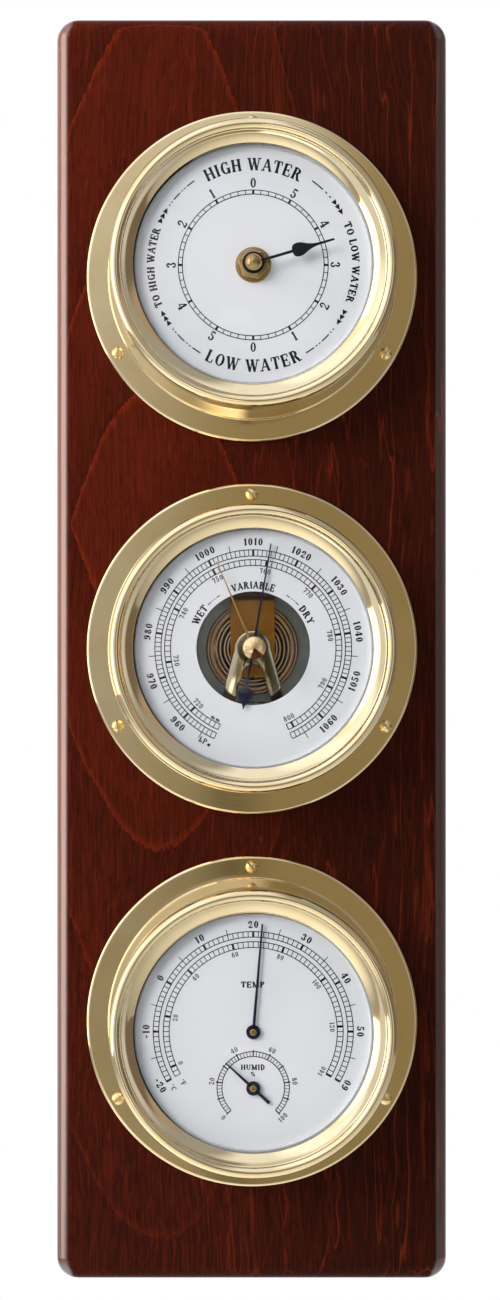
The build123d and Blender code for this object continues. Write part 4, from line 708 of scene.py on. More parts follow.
def stained_wood():
    """Mahogany stained dark red: upright grain, an oval figure at the left, polish on the round sides."""
    material, nodes, shader = new_finish("stained_mahogany", Specular_IOR_Level=0.03, Coat_IOR=2.1,
                                         Coat_Roughness=0.2)
    here = nodes.place()
    sway = nodes.noise(here, 16.0, 3.0)["Color"]
    shift = nodes.add("ShaderNodeVectorMath", {0: sway, 3: WOOD_SWAY}, operation="SCALE").outputs[0]
    swayed = nodes.vector("ADD", here, shift)
    place = nodes.axes(swayed)

    def drawn(across, along, detail):
        """Noise drawn out along the grain."""
        return nodes.noise(nodes.vector("MULTIPLY", swayed, (across, across, along)), 1.0, detail)[0]

    def streaks(across, along, detail, low, high):
        """Streaks along the grain, sharpened between two levels."""
        return nodes.ramp(drawn(across, along, detail), low, high)

    def lines(across, along, width):
        """Thin wandering lines along the grain."""
        from_line = nodes.size(nodes.minus(drawn(across, along, 2.0), 0.5))
        return nodes.ramp(from_line, width, 0.0)

    to_right = nodes.ramp(place["X"], -0.03, 0.045, kind="SMOOTHSTEP")
    to_foot = nodes.ramp(place["Z"], -0.15, -0.34)
    broad = streaks(60.0, 2.0, 4.0, 0.36, 0.64)
    fine = streaks(1300.0, 40.0, 3.0, 0.4, 0.66)
    flecks = streaks(1500.0, 130.0, 3.0, 0.46, 0.66)
    pores = streaks(2400.0, 110.0, 2.0, 0.55, 0.7)
    threads = nodes.times(lines(150.0, 3.0, 0.02), streaks(200.0, 14.0, 2.0, 0.4, 0.6))

    # Ovals: climb from the eye, widened by an arch about the heart and slanted through the board
    arch = nodes.times(nodes.math("POWER", nodes.plus(place["X"], WOOD_HEART), 2.0), WOOD_ARCH_STEEPNESS)
    climb = nodes.size(nodes.minus(place["Z"], WOOD_EYE))
    depth = nodes.minus(nodes.axes(here)["Y"], BOARD_FRONT * MM)
    rise = nodes.minus(nodes.plus(climb, arch), WOOD_OVAL_REACH)
    rise = nodes.plus(rise, nodes.times(depth, WOOD_SLANT))
    ragged = nodes.plus(rise, nodes.times(fine, WOOD_RAGGED))
    ring = nodes.math("FRACT", nodes.math("DIVIDE", ragged, WOOD_ARCH_SPACING))
    late = nodes.math("POWER", nodes.minus(1.0, ring), 3.0)
    ring_edge = nodes.times(nodes.ramp(ring, 0.94, 1.0), nodes.between(to_foot, 1.0, 0.3))

    # Stains over the ground tone, each with its strength at the left and at the right
    upper_tone = nodes.blend(to_right, colour(80, 25, 12), colour(48, 18, 10))
    lower_tone = nodes.blend(to_right, colour(50, 17, 9), colour(36, 14, 8))
    tone = nodes.blend(to_foot, upper_tone, lower_tone)
    for mask, at_left, at_right, stain in (
            (late, 0.75, 0.35, (42, 15, 9)),
            (broad, 0.5, 0.5, (44, 16, 9)),
            (fine, 0.13, 0.08, (122, 40, 19)),
            (flecks, 0.24, 0.1, (112, 36, 18)),
            (threads, 0.12, 0.42, (140, 50, 25)),
            (ring_edge, 0.5, 0.16, (136, 44, 21)),
            (pores, 0.5, 0.5, (24, 9, 5))):
        weight = nodes.times(mask, nodes.between(to_right, at_left, at_right))
        tone = nodes.blend(weight, tone, colour(*stain))
    facing = nodes.axes(nodes.add("ShaderNodeNewGeometry").outputs["Normal"])
    rounding = nodes.ramp(nodes.size(facing["X"]), 0.17, 0.34)
    forward = nodes.ramp(facing["Y"], -0.05, -0.35, 0.15, 1.0)
    nodes.feed(shader, Base_Color=tone, Roughness=nodes.between(fine, 0.2, 0.32),
               Coat_Weight=nodes.times(rounding, forward))
    nodes.relief(shader, nodes.times(pores, -1.0), 0.1, WOOD_PORE_DEPTH)
    return material


def dial_enamel():
    """White printed dial with the least mottle."""
    material, nodes, shader = new_finish("dial_white", Specular_IOR_Level=0.3)
    clouds = nodes.group(TARNISH, Scale=40.0)["Clouds"]
    nodes.feed(shader, Base_Color=nodes.blend(clouds, colour(240, 243, 246), colour(236, 240, 243)),
               Roughness=nodes.between(clouds, 0.5, 0.6))
    return material


def watch_glass():
    """Clear glass with an anti-glare coat, which lets the light through to the dial."""
    material, nodes, shader = new_finish("watch_glass", Transmission_Weight=1.0, Roughness=0.0, IOR=1.2)
    clear = nodes.add("ShaderNodeBsdfTransparent")
    path = nodes.add("ShaderNodeLightPath")
    mixed = nodes.add("ShaderNodeMixShader",
                      {0: path.outputs["Is Shadow Ray"], 1: shader.outputs[0], 2: clear.outputs[0]})
    nodes.feed(nodes.tree.nodes["Material Output"], Surface=mixed.outputs[0])
    return material


def spun_knob():
    """Gilt knob with a painted reflection on its coned face: a fan of pale rays above and a painted dark
    wedge below.
    """
    material, nodes, shader = new_finish("spun_gilt", Metallic=1.0)
    place = nodes.axes(nodes.from_centre(CENTRE["baro"]))
    turn = nodes.math("ARCTAN2", place["X"], place["Z"])
    painted_ray_noise = nodes.noise_along(turn, 7.0, 3.0)
    # Painted reflection: a dark wedge below the middle, over a fan of pale rays
    dark = nodes.ramp(nodes.size(nodes.plus(turn, 0.25)), 2.35, 2.6)
    painted_pale_fan = nodes.blend(nodes.ramp(painted_ray_noise, 0.35, 0.65), colour(250, 226, 178), colour(214, 170, 104))
    nodes.feed(shader, Base_Color=nodes.blend(dark, painted_pale_fan, colour(84, 54, 28)),
               Roughness=nodes.between(painted_ray_noise, 0.14, 0.26))
    return material


def bridge_metal():
    """Polished bridge with a painted dark reflection on its head and right leg; its rims stay bright."""
    material, nodes, shader = new_finish("bridge_polish", Metallic=1.0)
    flat = nodes.vector("MULTIPLY", nodes.from_centre(CENTRE["baro"]), (1, 0, 1))
    place = nodes.axes(flat)
    # Where a dark reflection is painted: the head, and the right leg inside its outline
    painted_head_edge, painted_leg_edge, painted_leg_start = (0.0051, 0.0046), (0.0005, 0.0011), 0.0012
    head = nodes.ramp(nodes.length(flat), *painted_head_edge)
    splay = (BRIDGE_FOOT_SPREAD + BRIDGE_LEG_WIDTH / 2 - BRIDGE_HEAD_RADIUS) / BRIDGE_LEG_LENGTH
    rim = nodes.plus(nodes.times(place["Z"], -splay), BRIDGE_HEAD_RADIUS * MM)
    inside_painted_leg = nodes.ramp(nodes.minus(rim, place["X"]), *painted_leg_edge)
    leg = nodes.times(inside_painted_leg, nodes.math("GREATER_THAN", place["X"], painted_leg_start))
    clouds = nodes.group(TARNISH, Scale=140.0)["Clouds"]
    bright = nodes.blend(clouds, colour(230, 214, 178), colour(214, 196, 156))
    # Painted dark reflection on the head and the right leg; elsewhere the metal's own tone
    nodes.feed(shader, Base_Color=nodes.blend(nodes.greater(head, leg), bright, colour(112, 104, 80)),
               Roughness=nodes.between(clouds, 0.06, 0.13))
    return material


def battery_jacket():
    """Plain printed cell jacket: dark body with a copper-coloured end."""
    material, nodes, shader = new_finish("cell_jacket", Metallic=0.6, Coat_Weight=0.5)
    along = nodes.axes(nodes.place())["X"]
    collar = nodes.math("GREATER_THAN", along, middle("tide_battery").x * MM + CELL_COLLAR)
    clouds = nodes.group(TARNISH)["Clouds"]
    dark = nodes.blend(clouds, colour(38, 39, 42), colour(46, 47, 50))
    nodes.feed(shader, Base_Color=nodes.blend(collar, dark, colour(176, 112, 62)),
               Roughness=nodes.between(clouds, 0.3, 0.42))
    return material


CASE_BRASS = {name: turned_metal(f"{name}_case_brass", (230, 210, 168), (221, 200, 155), CENTRE[name],
                                 (0.04, 0.11), relief=0.03) for name in INSTRUMENTS}
FINISH = {
    "stained_wood": stained_wood(),
    "case_brass": CASE_BRASS["baro"],
    "screw_brass": brushed_metal("screw_brass", (236, 212, 158), (222, 194, 136), (0.12, 0.24)),
    "fitting_brass": turned_metal("fitting_brass", (208, 180, 124), (184, 154, 100), CENTRE["tide"],
                                  (0.12, 0.24)),
    "bridge_brass": bridge_metal(),
    "gilt_brass": turned_metal("gilt_brass", (226, 184, 104), (208, 164, 84), CENTRE["baro"], (0.12, 0.22),
                               rings=4000.0, relief=0.1, anisotropy=0.7),
    "spring_bronze": brushed_metal("spring_bronze", (196, 138, 52), (166, 112, 38), (0.26, 0.4)),
    "capsule_metal": turned_metal("capsule_bronze", (226, 198, 160), (206, 174, 134), CENTRE["baro"],
                                  (0.1, 0.2), rings=1500.0),
    "dial_enamel": dial_enamel(),
    "black_enamel": moulded("black_enamel", (16, 16, 22), (22, 22, 29), (0.3, 0.42), shine=0.15),
    "grey_lacquer": brushed_metal("grey_zinc", (204, 212, 208), (174, 182, 178), (0.24, 0.36)),
    "watch_glass": watch_glass(),
    "gasket_rubber": moulded("gasket_white", (224, 226, 226), (214, 216, 216), (0.55, 0.7)),
    "hanger_steel": brushed_metal("hanger_zinc", (176, 178, 180), (150, 152, 156), (0.3, 0.46)),
    "arbor_steel": brushed_metal("arbor_steel", (178, 180, 184), (150, 152, 158), (0.18, 0.32)),
    "contact_steel": brushed_metal("contact_nickel", (196, 194, 186), (172, 170, 162), (0.2, 0.34)),
    "movement_plastic": moulded("movement_black", (34, 34, 36), (42, 42, 44), (0.4, 0.58), relief=0.15),
    "motor_plastic": moulded("motor_grey", (120, 122, 126), (108, 110, 114), (0.4, 0.55)),
    "battery_jacket": battery_jacket(),
}
INK = moulded("printing_ink", (14, 14, 18), (20, 20, 24), (0.5, 0.65), shine=0.1)
SPUN_KNOB = spun_knob()
BLUED = moulded("blued_enamel", (20, 21, 50), (25, 26, 56), (0.28, 0.4), shine=0.15)


# Shared case pieces

def case_shape():
    """Brass case: flange on the board, tapered wall, and a collar for the bezel and the dial."""
    shoulder = CASE_DEPTH - CASE_COLLAR_LENGTH
    return lathe(rounded([
        (CASE_INNER_RADIUS, 0, 0),
        (FLANGE_RADIUS, 0, EDGE_ROUND),
        (FLANGE_RADIUS, FLANGE_THICKNESS, FLANGE_EDGE_ROUND),
        (CASE_FOOT_RADIUS, FLANGE_THICKNESS, CASE_FOOT_ROUND),
        (BEZEL_SKIRT_RADIUS, shoulder, CASE_SHOULDER_ROUND),
        (CASE_COLLAR_RADIUS, shoulder, 0),
        (CASE_COLLAR_RADIUS, CASE_DEPTH, EDGE_ROUND),
        (CASE_INNER_RADIUS, CASE_DEPTH, EDGE_ROUND)]))


def bezel_shape():
    """Bezel: skirt over the collar, round bead, groove, and a band that falls to the lip on the glass."""
    crest = BEZEL_CREST_HEIGHT
    inner = BEZEL_SKIRT_RADIUS - BEZEL_SKIRT_WALL
    lip_top = crest - BEZEL_LIP_DROP
    lip_low = lip_top - BEZEL_LIP_THICKNESS
    bead = arc_points(BEZEL_CREST_RADIUS, crest - BEZEL_BEAD_RADIUS, BEZEL_BEAD_RADIUS, 0, BEZEL_BEAD_END, 36)
    bead_end = Vector(bead[-1])
    band_start = Vector((BEZEL_BAND_RADIUS, crest - BEZEL_BAND_DROP))
    band_end = Vector((BEZEL_LIP_RADIUS + EDGE_ROUND, lip_top))
    down = (bead_end - Vector(bead[-2])).normalized() * BEZEL_GROOVE_PULL
    slope = math.atan2(band_end.y - band_start.y, band_end.x - band_start.x)
    outset, inset = (Matrix.Rotation(slope + way * BEZEL_BAND_SWELL, 2) @ Vector((BEZEL_BAND_PULL, 0))
                     for way in (-1, 1))
    groove = curve_points(bead_end, bead_end + down, band_start - outset / 4, band_start, 10)
    band = curve_points(band_start, band_start + outset, band_end - inset, band_end, 20)
    lip = [(BEZEL_LIP_RADIUS + EDGE_ROUND / 4, lip_top - EDGE_ROUND / 2),
           (BEZEL_LIP_RADIUS, lip_top - EDGE_ROUND * 1.5), (BEZEL_LIP_RADIUS, lip_low)]
    skirt = [(inner, lip_low), (inner, BEZEL_SKIRT_FOOT), (BEZEL_SKIRT_RADIUS, BEZEL_SKIRT_FOOT)]
    return lathe(bead + groove[1:] + band[1:] + lip + skirt)


def dome_arc(edge_height, apex, inner_radius):
    """Arc of the domed glass from its edge to the middle, or to a hole in it."""
    rise = apex - edge_height
    sphere = (GLASS_DOME_RADIUS ** 2 + rise ** 2) / (2 * rise)
    edge = math.asin(GLASS_DOME_RADIUS / sphere)
    inner = math.asin(inner_radius / sphere)
    points = []
    for step in range(GLASS_DOME_STEPS + 1):
        lean = edge + (inner - edge) * step / GLASS_DOME_STEPS
        points.append((sphere * math.sin(lean), apex - sphere + sphere * math.cos(lean)))
    points[-1] = (inner_radius, points[-1][1])
    return points


def glass_shape(hole_radius):
    """Domed watch glass with a flat rim under the bezel."""
    rim_top = GLASS_SEAT + GLASS_THICKNESS
    outer = dome_arc(rim_top, GLASS_APEX, hole_radius)
    inner = dome_arc(GLASS_SEAT, GLASS_APEX - GLASS_THICKNESS, hole_radius)
    return lathe([(GLASS_RIM_RADIUS, GLASS_SEAT), (GLASS_RIM_RADIUS, rim_top)] + outer + inner[::-1])


def screw_shape():
    """Slotted round head: a dome split by a slot with a flat floor."""
    half_slot = SCREW_SLOT_WIDTH / 2
    floor = SCREW_HEAD_HEIGHT - SCREW_SLOT_DEPTH
    dome = [(0, SCREW_HEAD_HEIGHT)] + [
        (SCREW_HEAD_RADIUS * math.sin(lean), SCREW_HEAD_HEIGHT * math.cos(lean) ** SCREW_DOME_POWER)
        for lean in (math.radians(10 * step) for step in range(1, 9))]
    head = lathe(dome + [(SCREW_HEAD_RADIUS, 0), (0, 0)], SCREW_STEPS)
    for spot, facing in (((-half_slot, 0, 0), (1, 0, 0)), ((half_slot, 0, 0), (1, 0, 0)),
                         ((0, 0, floor), (0, 0, 1))):
        bmesh.ops.bisect_plane(head, geom=head.verts[:] + head.edges[:] + head.faces[:],
                               plane_co=spot, plane_no=facing)
    inside = [face for face in head.faces
              if abs(face.calc_center_median().x) < half_slot and face.calc_center_median().z > floor]
    bmesh.ops.delete(head, geom=inside, context="FACES")
    slot_rim = [edge for edge in head.edges if edge.is_boundary]
    for side in (-1, 1):
        wall = [edge for edge in slot_rim
                if all(abs(vert.co.x - side * half_slot) < half_slot / 10 for vert in edge.verts)]
        corners = sorted({vert for edge in wall for vert in edge.verts}, key=lambda vert: vert.co.y)
        bottom = [head.verts.new((side * half_slot, corner.co.y, floor))
                  for corner in (corners[-1], corners[0])]
        head.faces.new(corners + bottom)
    reach = math.sqrt(SCREW_HEAD_RADIUS ** 2 - half_slot ** 2) * SCREW_SLOT_SHARE
    corners = [(-half_slot, -reach), (half_slot, -reach), (half_slot, reach), (-half_slot, reach)]
    head.faces.new([head.verts.new((x, y, floor)) for x, y in corners])
    bmesh.ops.remove_doubles(head, verts=head.verts, dist=WELD_DISTANCE)
    return head


def add_common_pieces(name, dial_hole, glass_hole=0):
    """Case, bezel, glass, dial and screws of one instrument."""
    dial = hub_shape(dial_hole, DIAL_RADIUS, DIAL_BACK, DIAL_FACE, 0, 0, DIAL_HOLE_ROUND, ROUND_STEPS)
    screws = grown(RING_OF_SCREWS, screw_shape(), Count=CASE_SCREW_COUNT, Radius=SCREW_CIRCLE_RADIUS,
                   Height=FLANGE_THICKNESS, Seed=INSTRUMENTS.index(name), Material=FINISH["screw_brass"])
    for piece, shape, slot, node, finish in (
            ("case_turned", case_shape(), "case_brass", "case", CASE_BRASS[name]),
            ("bezel_turned", bezel_shape(), "case_brass", "bezel", CASE_BRASS[name]),
            ("glass_dome", glass_shape(glass_hole), "watch_glass", "glass", None),
            ("dial_plate", dial, "dial_enamel", "dial", None),
            ("round_head_screws", screws, "screw_brass", "case_screws", None)):
        add_piece(f"{name}_{piece}", shape, CENTRE[name], slot, FRAME_BODY, f"{name}_{node}", finish)


# Lettering: a small face of thick stems, hairlines and flat serifs, drawn on a cap height of one.
# A weight is the width of a stem and of a hairline. A letter is its width and its strokes:
# S stem with both serifs, V upright, D thick and H thin line, O round with thick sides, o thin round,
# B ball, F serif.

TITLE = (0.23, 0.1)
CAPITALS = (0.26, 0.15)
BOLD = (0.225, 0.11)
LIGHT = (0.19, 0.11)
SERIF_REACH = 0.15
LETTER_GAP = 0.1
DIAGONAL_SHARE = 0.92
BALL_SHARE = 0.55
BOWL_STEP_ANGLE = 18
BOWL_LEAST_STEPS = 6
GLYPHS = {
    "A": (0.86, "H .10 0 .42 1; D .42 1 .72 0; H .22 .34 .60 .34; F .10 0; F .72 0"),
    "B": (0.80, "S .18; O .36 .76 .27 .26 -90 90; O .38 .27 .34 .27 -90 90; H .18 .97 .36 .97;"
                "H .18 .51 .38 .51; H .18 .03 .38 .03"),
    "C": (0.80, "O .42 .5 .38 .5 48 312; H .67 .96 .67 .68"),
    "D": (0.84, "S .18; O .32 .5 .45 .5 -90 90; H .18 .97 .34 .97; H .18 .03 .34 .03"),
    "E": (0.74, "S .18; H .18 .97 .64 .97; H .18 .03 .66 .03; H .18 .5 .5 .5; H .63 .97 .63 .72;"
                "H .65 .03 .65 .3; H .5 .38 .5 .62"),
    "F": (0.70, "S .18; H .18 .97 .62 .97; H .61 .97 .61 .72; H .18 .5 .48 .5; H .48 .38 .48 .62"),
    "G": (0.86, "O .42 .5 .38 .5 48 312; H .66 .96 .66 .68; V .68 0 .42; F .68 .42"),
    "H": (0.86, "S .18; S .68; H .18 .5 .68 .5"),
    "I": (0.38, "S .19"),
    "L": (0.70, "S .18; H .18 .03 .62 .03; H .62 .03 .62 .32"),
    "M": (1.06, "H .18 0 .18 1; D .20 1 .52 .04; H .52 .04 .86 1; V .86 0 1; F .18 0; F .86 0; F .13 .97;"
                "F .9 .97"),
    "O": (0.86, "O .43 .5 .39 .5 0 360"),
    "P": (0.76, "S .18; O .34 .73 .34 .27 -90 90; H .18 .97 .36 .97; H .18 .48 .36 .48"),
    "R": (0.86, "S .18; O .34 .74 .33 .26 -90 90; H .18 .97 .36 .97; H .18 .5 .36 .5; D .44 .5 .68 0;"
                "F .72 0"),
    "T": (0.76, "V .38 0 1; F .38 0; H .05 .97 .71 .97; H .06 .97 .06 .70; H .70 .97 .70 .70"),
    "U": (0.84, "V .18 .26 1; F .18 1; o .42 .28 .26 .27 180 360; H .67 .28 .67 1; F .67 1"),
    "V": (0.84, "D .14 1 .42 0; H .42 0 .70 1; F .14 1; F .72 1"),
    "W": (1.16, "D .12 1 .38 0; H .38 0 .58 .98; D .54 1 .80 0; H .80 0 1.02 1; F .12 1; F .56 1; F 1.04 1"),
    "Y": (0.82, "D .14 1 .42 .46; H .42 .46 .68 1; V .42 0 .5; F .42 0; F .14 1; F .70 1"),
    "a": (0.56, "O .24 .24 .20 .25 0 360; V .44 0 .5"),
    "h": (0.62, "V .16 0 1; o .32 .34 .16 .16 0 180; V .48 0 .36; F .16 0; F .48 0"),
    "m": (0.92, "V .14 0 .52; o .27 .36 .13 .16 0 180; V .40 0 .36; o .53 .36 .13 .16 0 180; V .66 0 .36"),
    "0": (0.64, "O .32 .5 .28 .5 0 360"),
    "1": (0.46, "V .25 0 1; F .25 0; H .10 .80 .25 .97"),
    "2": (0.64, "O .31 .73 .25 .27 -20 170; B .13 .70; H .52 .62 .09 .08; H .08 .07 .56 .07;"
                "H .56 .07 .56 .26; D .16 .10 .50 .06"),
    "3": (0.64, "O .29 .76 .23 .24 -90 150; O .29 .27 .27 .27 -150 90; B .13 .78; B .11 .24"),
    "4": (0.68, "H .05 .30 .42 1; H .04 .29 .64 .29; V .44 0 1; F .44 0"),
    "5": (0.64, "D .14 .93 .52 .93; H .15 1 .15 .52; O .27 .32 .29 .32 -150 120; B .11 .22"),
    "6": (0.64, "O .33 .31 .27 .31 0 360; O .42 .5 .37 .5 95 190; B .51 .84"),
    "7": (0.60, "D .08 .93 .54 .93; H .08 .97 .08 .70; D .50 .90 .26 0"),
    "8": (0.64, "O .32 .76 .24 .24 0 360; O .32 .27 .28 .27 0 360"),
    "9": (0.64, "O .31 .69 .27 .31 0 360; O .22 .5 .37 .5 -85 10; B .13 .16"),
    "%": (0.94, "O .22 .74 .18 .26 0 360; O .70 .26 .18 .26 0 360; H .16 0 .76 1"),
    "°": (0.34, "o .16 .84 .13 .14 0 360"),
    "-": (0.50, "D .08 .42 .40 .42"),
    " ": (0.34, ""),
}


def bar_strip(start, finish, width):
    """Straight stroke of a letter."""
    run = Vector(finish) - Vector(start)
    side = Vector((-run.y, run.x)).normalized() * width / 2
    return [(Vector(end) + side, Vector(end) - side) for end in (start, finish)]


def bowl_strip(x, y, across, up, start, finish, thick, hair):
    """Round stroke, as wide at its sides and at its top and bottom as two widths say."""
    count = max(BOWL_LEAST_STEPS, int(abs(finish - start) / BOWL_STEP_ANGLE))
    strip = []
    for step in range(count + 1):
        turn = math.radians(start + (finish - start) * step / count)
        outer = Vector((x + across * math.cos(turn), y + up * math.sin(turn)))
        inner = Vector((x + (across - thick) * math.cos(turn), y + (up - hair) * math.sin(turn)))
        strip.append((outer, inner))
    return strip


def glyph_strips(letter, weight):
    """Strokes of a letter as strips of point pairs."""
    thick, hair = weight
    ball = thick * BALL_SHARE
    strips = []
    for stroke in filter(None, (part.strip() for part in GLYPHS[letter][1].split(";"))):
        kind, *numbers = stroke.split()
        n = [float(number) for number in numbers]
        if kind == "S":
            n = [n[0], 0, n[0], 1]
            strips.append(bar_strip(n[:2], n[2:], thick))
        if kind == "V":
            strips.append(bar_strip((n[0], n[1]), (n[0], n[2]), thick))
        if kind == "H":
            strips.append(bar_strip(n[:2], n[2:], hair))
        if kind == "D":
            strips.append(bar_strip(n[:2], n[2:], thick * DIAGONAL_SHARE))
        if kind == "O":
            strips.append(bowl_strip(*n, thick, hair))
        if kind == "o":
            strips.append(bowl_strip(*n, hair, hair))
        if kind == "B":
            strips.append(bowl_strip(*n, ball, ball, 0, 360, ball, ball))
        if kind in "SF":
            for x, y in zip(n[0::2], n[1::2]):
                foot = min(max(y, hair / 2), 1 - hair / 2)
                strips.append(bar_strip((x - SERIF_REACH, foot), (x + SERIF_REACH, foot), hair))
    return strips


def letter_widths(letters, height, spread):
    """Room that each letter of a word takes, its gap included."""
    return [(GLYPHS[letter][0] * spread + LETTER_GAP) * height for letter in letters]


class Printing:
    """Ink laid on one dial: strips of point pairs and runs of ticks, made one thin mesh."""

    def __init__(self):
        self.flat = bmesh.new()
        self.grown = []

    def strip(self, pairs):
        """One band of ink through pairs of edge points."""
        rows = [[self.flat.verts.new((point[0], point[1], 0)) for point in pair] for pair in pairs]
        for row, following in zip(rows, rows[1:]):
            self.flat.faces.new([row[0], following[0], following[1], row[1]])

    def arc(self, radius, start, finish, width=TRACK_LINE, origin=(0, 0)):
        """Printed line along a circle."""
        count = max(ARC_LEAST_STEPS, int(abs(finish - start) / ARC_STEP_ANGLE))
        pairs = []
        for step in range(count + 1):
            angle = start + (finish - start) * step / count
            pairs.append([Vector(origin) + on_dial(radius + side * width / 2, angle) for side in (1, -1)])
        self.strip(pairs)

    def track(self, low, high, end, origin=(0, 0)):
        """Two printed lines that bound a scale, as far to the left as to the right."""
        for radius in (low, high):
            self.arc(radius, -end, end, origin=origin)

    def ticks(self, low, high, start, step=1, count=1, width=FINE_LINE, origin=(0, 0)):
        """Run of radial ticks between two radii."""
        marks = grown(RING_OF_MARKS, Count=count, Radius=(low + high) / 2, Start=start, Step=step,
                      Length=high - low, Width=width, Thickness=INK_THICKNESS, Material=INK)
        self.grown.append(moved(marks, Matrix.Translation((*origin, INK_HEIGHT))))

    def letter(self, letter, weight, spot, right, up):
        """One letter with its middle on a spot, sized by its two directions."""
        half = GLYPHS[letter][0] / 2
        for pairs in glyph_strips(letter, weight):
            self.strip([[spot + right * (point.x - half) + up * (point.y - 0.5) for point in pair]
                        for pair in pairs])

    def word(self, letters, radius, angle, height, weight, flipped=False, origin=(0, 0), spread=1.0):
        """Word centred at an angle, its middle line on a radius; flipped words have their tops inwards."""
        widths = letter_widths(letters, height, spread)
        way = -1 if flipped else 1
        place = -sum(widths) / 2
        for letter, width in zip(letters, widths):
            turn = angle + way * math.degrees((place + width / 2) / radius)
            up = on_dial(way * height, turn)
            right = Vector((up.y, -up.x)) * spread
            self.letter(letter, weight, Vector(origin) + on_dial(radius, turn), right, up)
            place += width

    def flat_word(self, letters, height_on_dial, height, weight, spread=1.0):
        """Straight word on the upright middle line of the dial."""
        widths = letter_widths(letters, height, spread)
        place = -sum(widths) / 2
        right = Vector((height * spread, 0))
        for letter, width in zip(letters, widths):
            spot = Vector((place, height_on_dial)) + right * GLYPHS[letter][0] / 2
            self.letter(letter, weight, spot, right, Vector((0, height)))
            place += width

    def dashes(self, radius, start, finish, width=0.4):
        """Dash and two dots, repeated between two angles."""
        pattern = ((0.0, 3.4), (4.2, 4.8), (5.6, 6.2))
        period = 7.0
        length = math.radians(abs(finish - start)) * radius
        count = max(1, round(length / period))
        turn = (finish - start) / (count * period)
        for index in range(count):
            for first, last in pattern:
                self.arc(radius, start + (index * period + first) * turn,
                         start + (index * period + last) * turn, width)

    def arrows(self, radius, angle, count=3, size=1.7):
        """Row of small arrowheads that point clockwise."""
        blunt_share = 0.02
        for index in range(count):
            tail = angle + math.degrees((index - count / 2) * size / radius)
            ends = [on_dial(radius + side * size / 2, tail) for side in (1, -1)]
            tip = on_dial(radius, tail + math.degrees(size / radius))
            self.strip([ends, [tip + (end - tip) * blunt_share for end in ends]])

    def finish(self, name, centre):
        """Thickens the ink and sets it on the dial."""
        faces = self.flat.faces[:]
        bmesh.ops.recalc_face_normals(self.flat, faces=faces)
        raised = raised_corners(bmesh.ops.extrude_face_region(self.flat, geom=faces))
        for corner in self.flat.verts:
            corner.co.z = DIAL_FACE
        for corner in raised:
            corner.co.z = DIAL_FACE + INK_THICKNESS
        bmesh.ops.recalc_face_normals(self.flat, faces=self.flat.faces)
        add_piece(name, joined(self.flat, *self.grown), centre, "black_enamel", FRAME_BODY, finish=INK)


def is_low(angle):
    """Labels below the middle of a dial stand with their tops inwards."""
    return abs((angle + 180) % 360 - 180) > FLIP_ANGLE


def print_tide_dial():
    """Tide scale: hours to the next high or low water."""
    ink = Printing()
    low, high, numbers, titles, legends = 21.75, 23.0, 25.2, 30.9, 31.5
    bold_overrun = 0.15
    for radius in (low, high):
        ink.arc(radius, 0, 360)
    ink.ticks(low, high, 0, 6, 60)
    ink.ticks(low - bold_overrun, high + bold_overrun, 0, 30, 12, BOLD_TICK)
    for index, hours in enumerate("054321054321"):
        angle = 30 * index
        ink.word(hours, numbers, angle, 3.0, LIGHT, is_low(angle))
    ink.word("HIGH WATER", titles, 0, 3.8, TITLE, spread=0.94)
    ink.word("LOW WATER", titles, 180, 3.8, TITLE, True, spread=0.94)
    ink.word("TO LOW WATER", legends, 88.5, 2.3, CAPITALS, spread=1.05)
    ink.word("TO HIGH WATER", legends, -91.5, 2.3, CAPITALS)
    for angle in (-61, 56, -121, 121):
        ink.arrows(legends, angle)
    for start, finish in ((-35, -56), (35, 51), (-149, -127), (149, 127)):
        ink.dashes(legends, start, finish)
    ink.finish("tide_printing", CENTRE["tide"])


def print_barometer_dial():
    """Pressure scale in hectopascals outside and millimetres of mercury inside."""
    ink = Printing()
    degrees, at_top = 2.7, 1010
    end = 58 * degrees
    low, high, long_tick, numbers = 28.3, 30.2, 32.2, 32.7
    ink.track(low, high, end)
    ink.ticks(low, high, -end, degrees, 117)
    ink.ticks(low, long_tick, -55 * degrees, 10 * degrees, 12)
    ink.ticks(low, high + BOLD_OVERRUN, -50 * degrees, 10 * degrees, 11, BOLD_TICK)
    for pressure in range(960, 1061, 10):
        angle = (pressure - at_top) * degrees
        ink.word(str(pressure), numbers, angle, 2.2, BOLD, is_low(angle), spread=1.1)
    degrees, at_760 = 3.6, 8.8
    low, high, numbers = 25.4, 27.2, 23.9
    first = math.ceil((-end - at_760) / degrees)
    last = math.floor((end - at_760) / degrees)
    ink.track(low, high, end)
    ink.ticks(low, high, at_760 + first * degrees, degrees, last - first + 1)
    for mercury in range(720, 801, 10):
        angle = at_760 + (mercury - 760) * degrees
        ink.ticks(low, high + BOLD_OVERRUN, angle, width=BOLD_TICK)
        ink.word(str(mercury), numbers, angle, 1.65, LIGHT, is_low(angle))
    ink.ticks(low, high, -end, 2 * end, 2)
    ink.word("hPa", 32.2, -152.6, 1.8, BOLD, True)
    ink.word("mm", 24.2, -152, 1.6, BOLD, True)
    words = 19.4
    ink.word("WET", words, -58, 2.2, CAPITALS)
    ink.word("VARIABLE", words, 0, 2.2, CAPITALS, spread=0.9)
    ink.word("DRY", words, 58, 2.2, CAPITALS)
    for side in (-1, 1):
        for start, finish in ((32, 36), (37.5, 38.7), (40, 41.2), (42.5, 46.5)):
            ink.arc(words - 0.2, side * start, side * finish)
    ink.finish("barometer_printing", CENTRE["baro"])


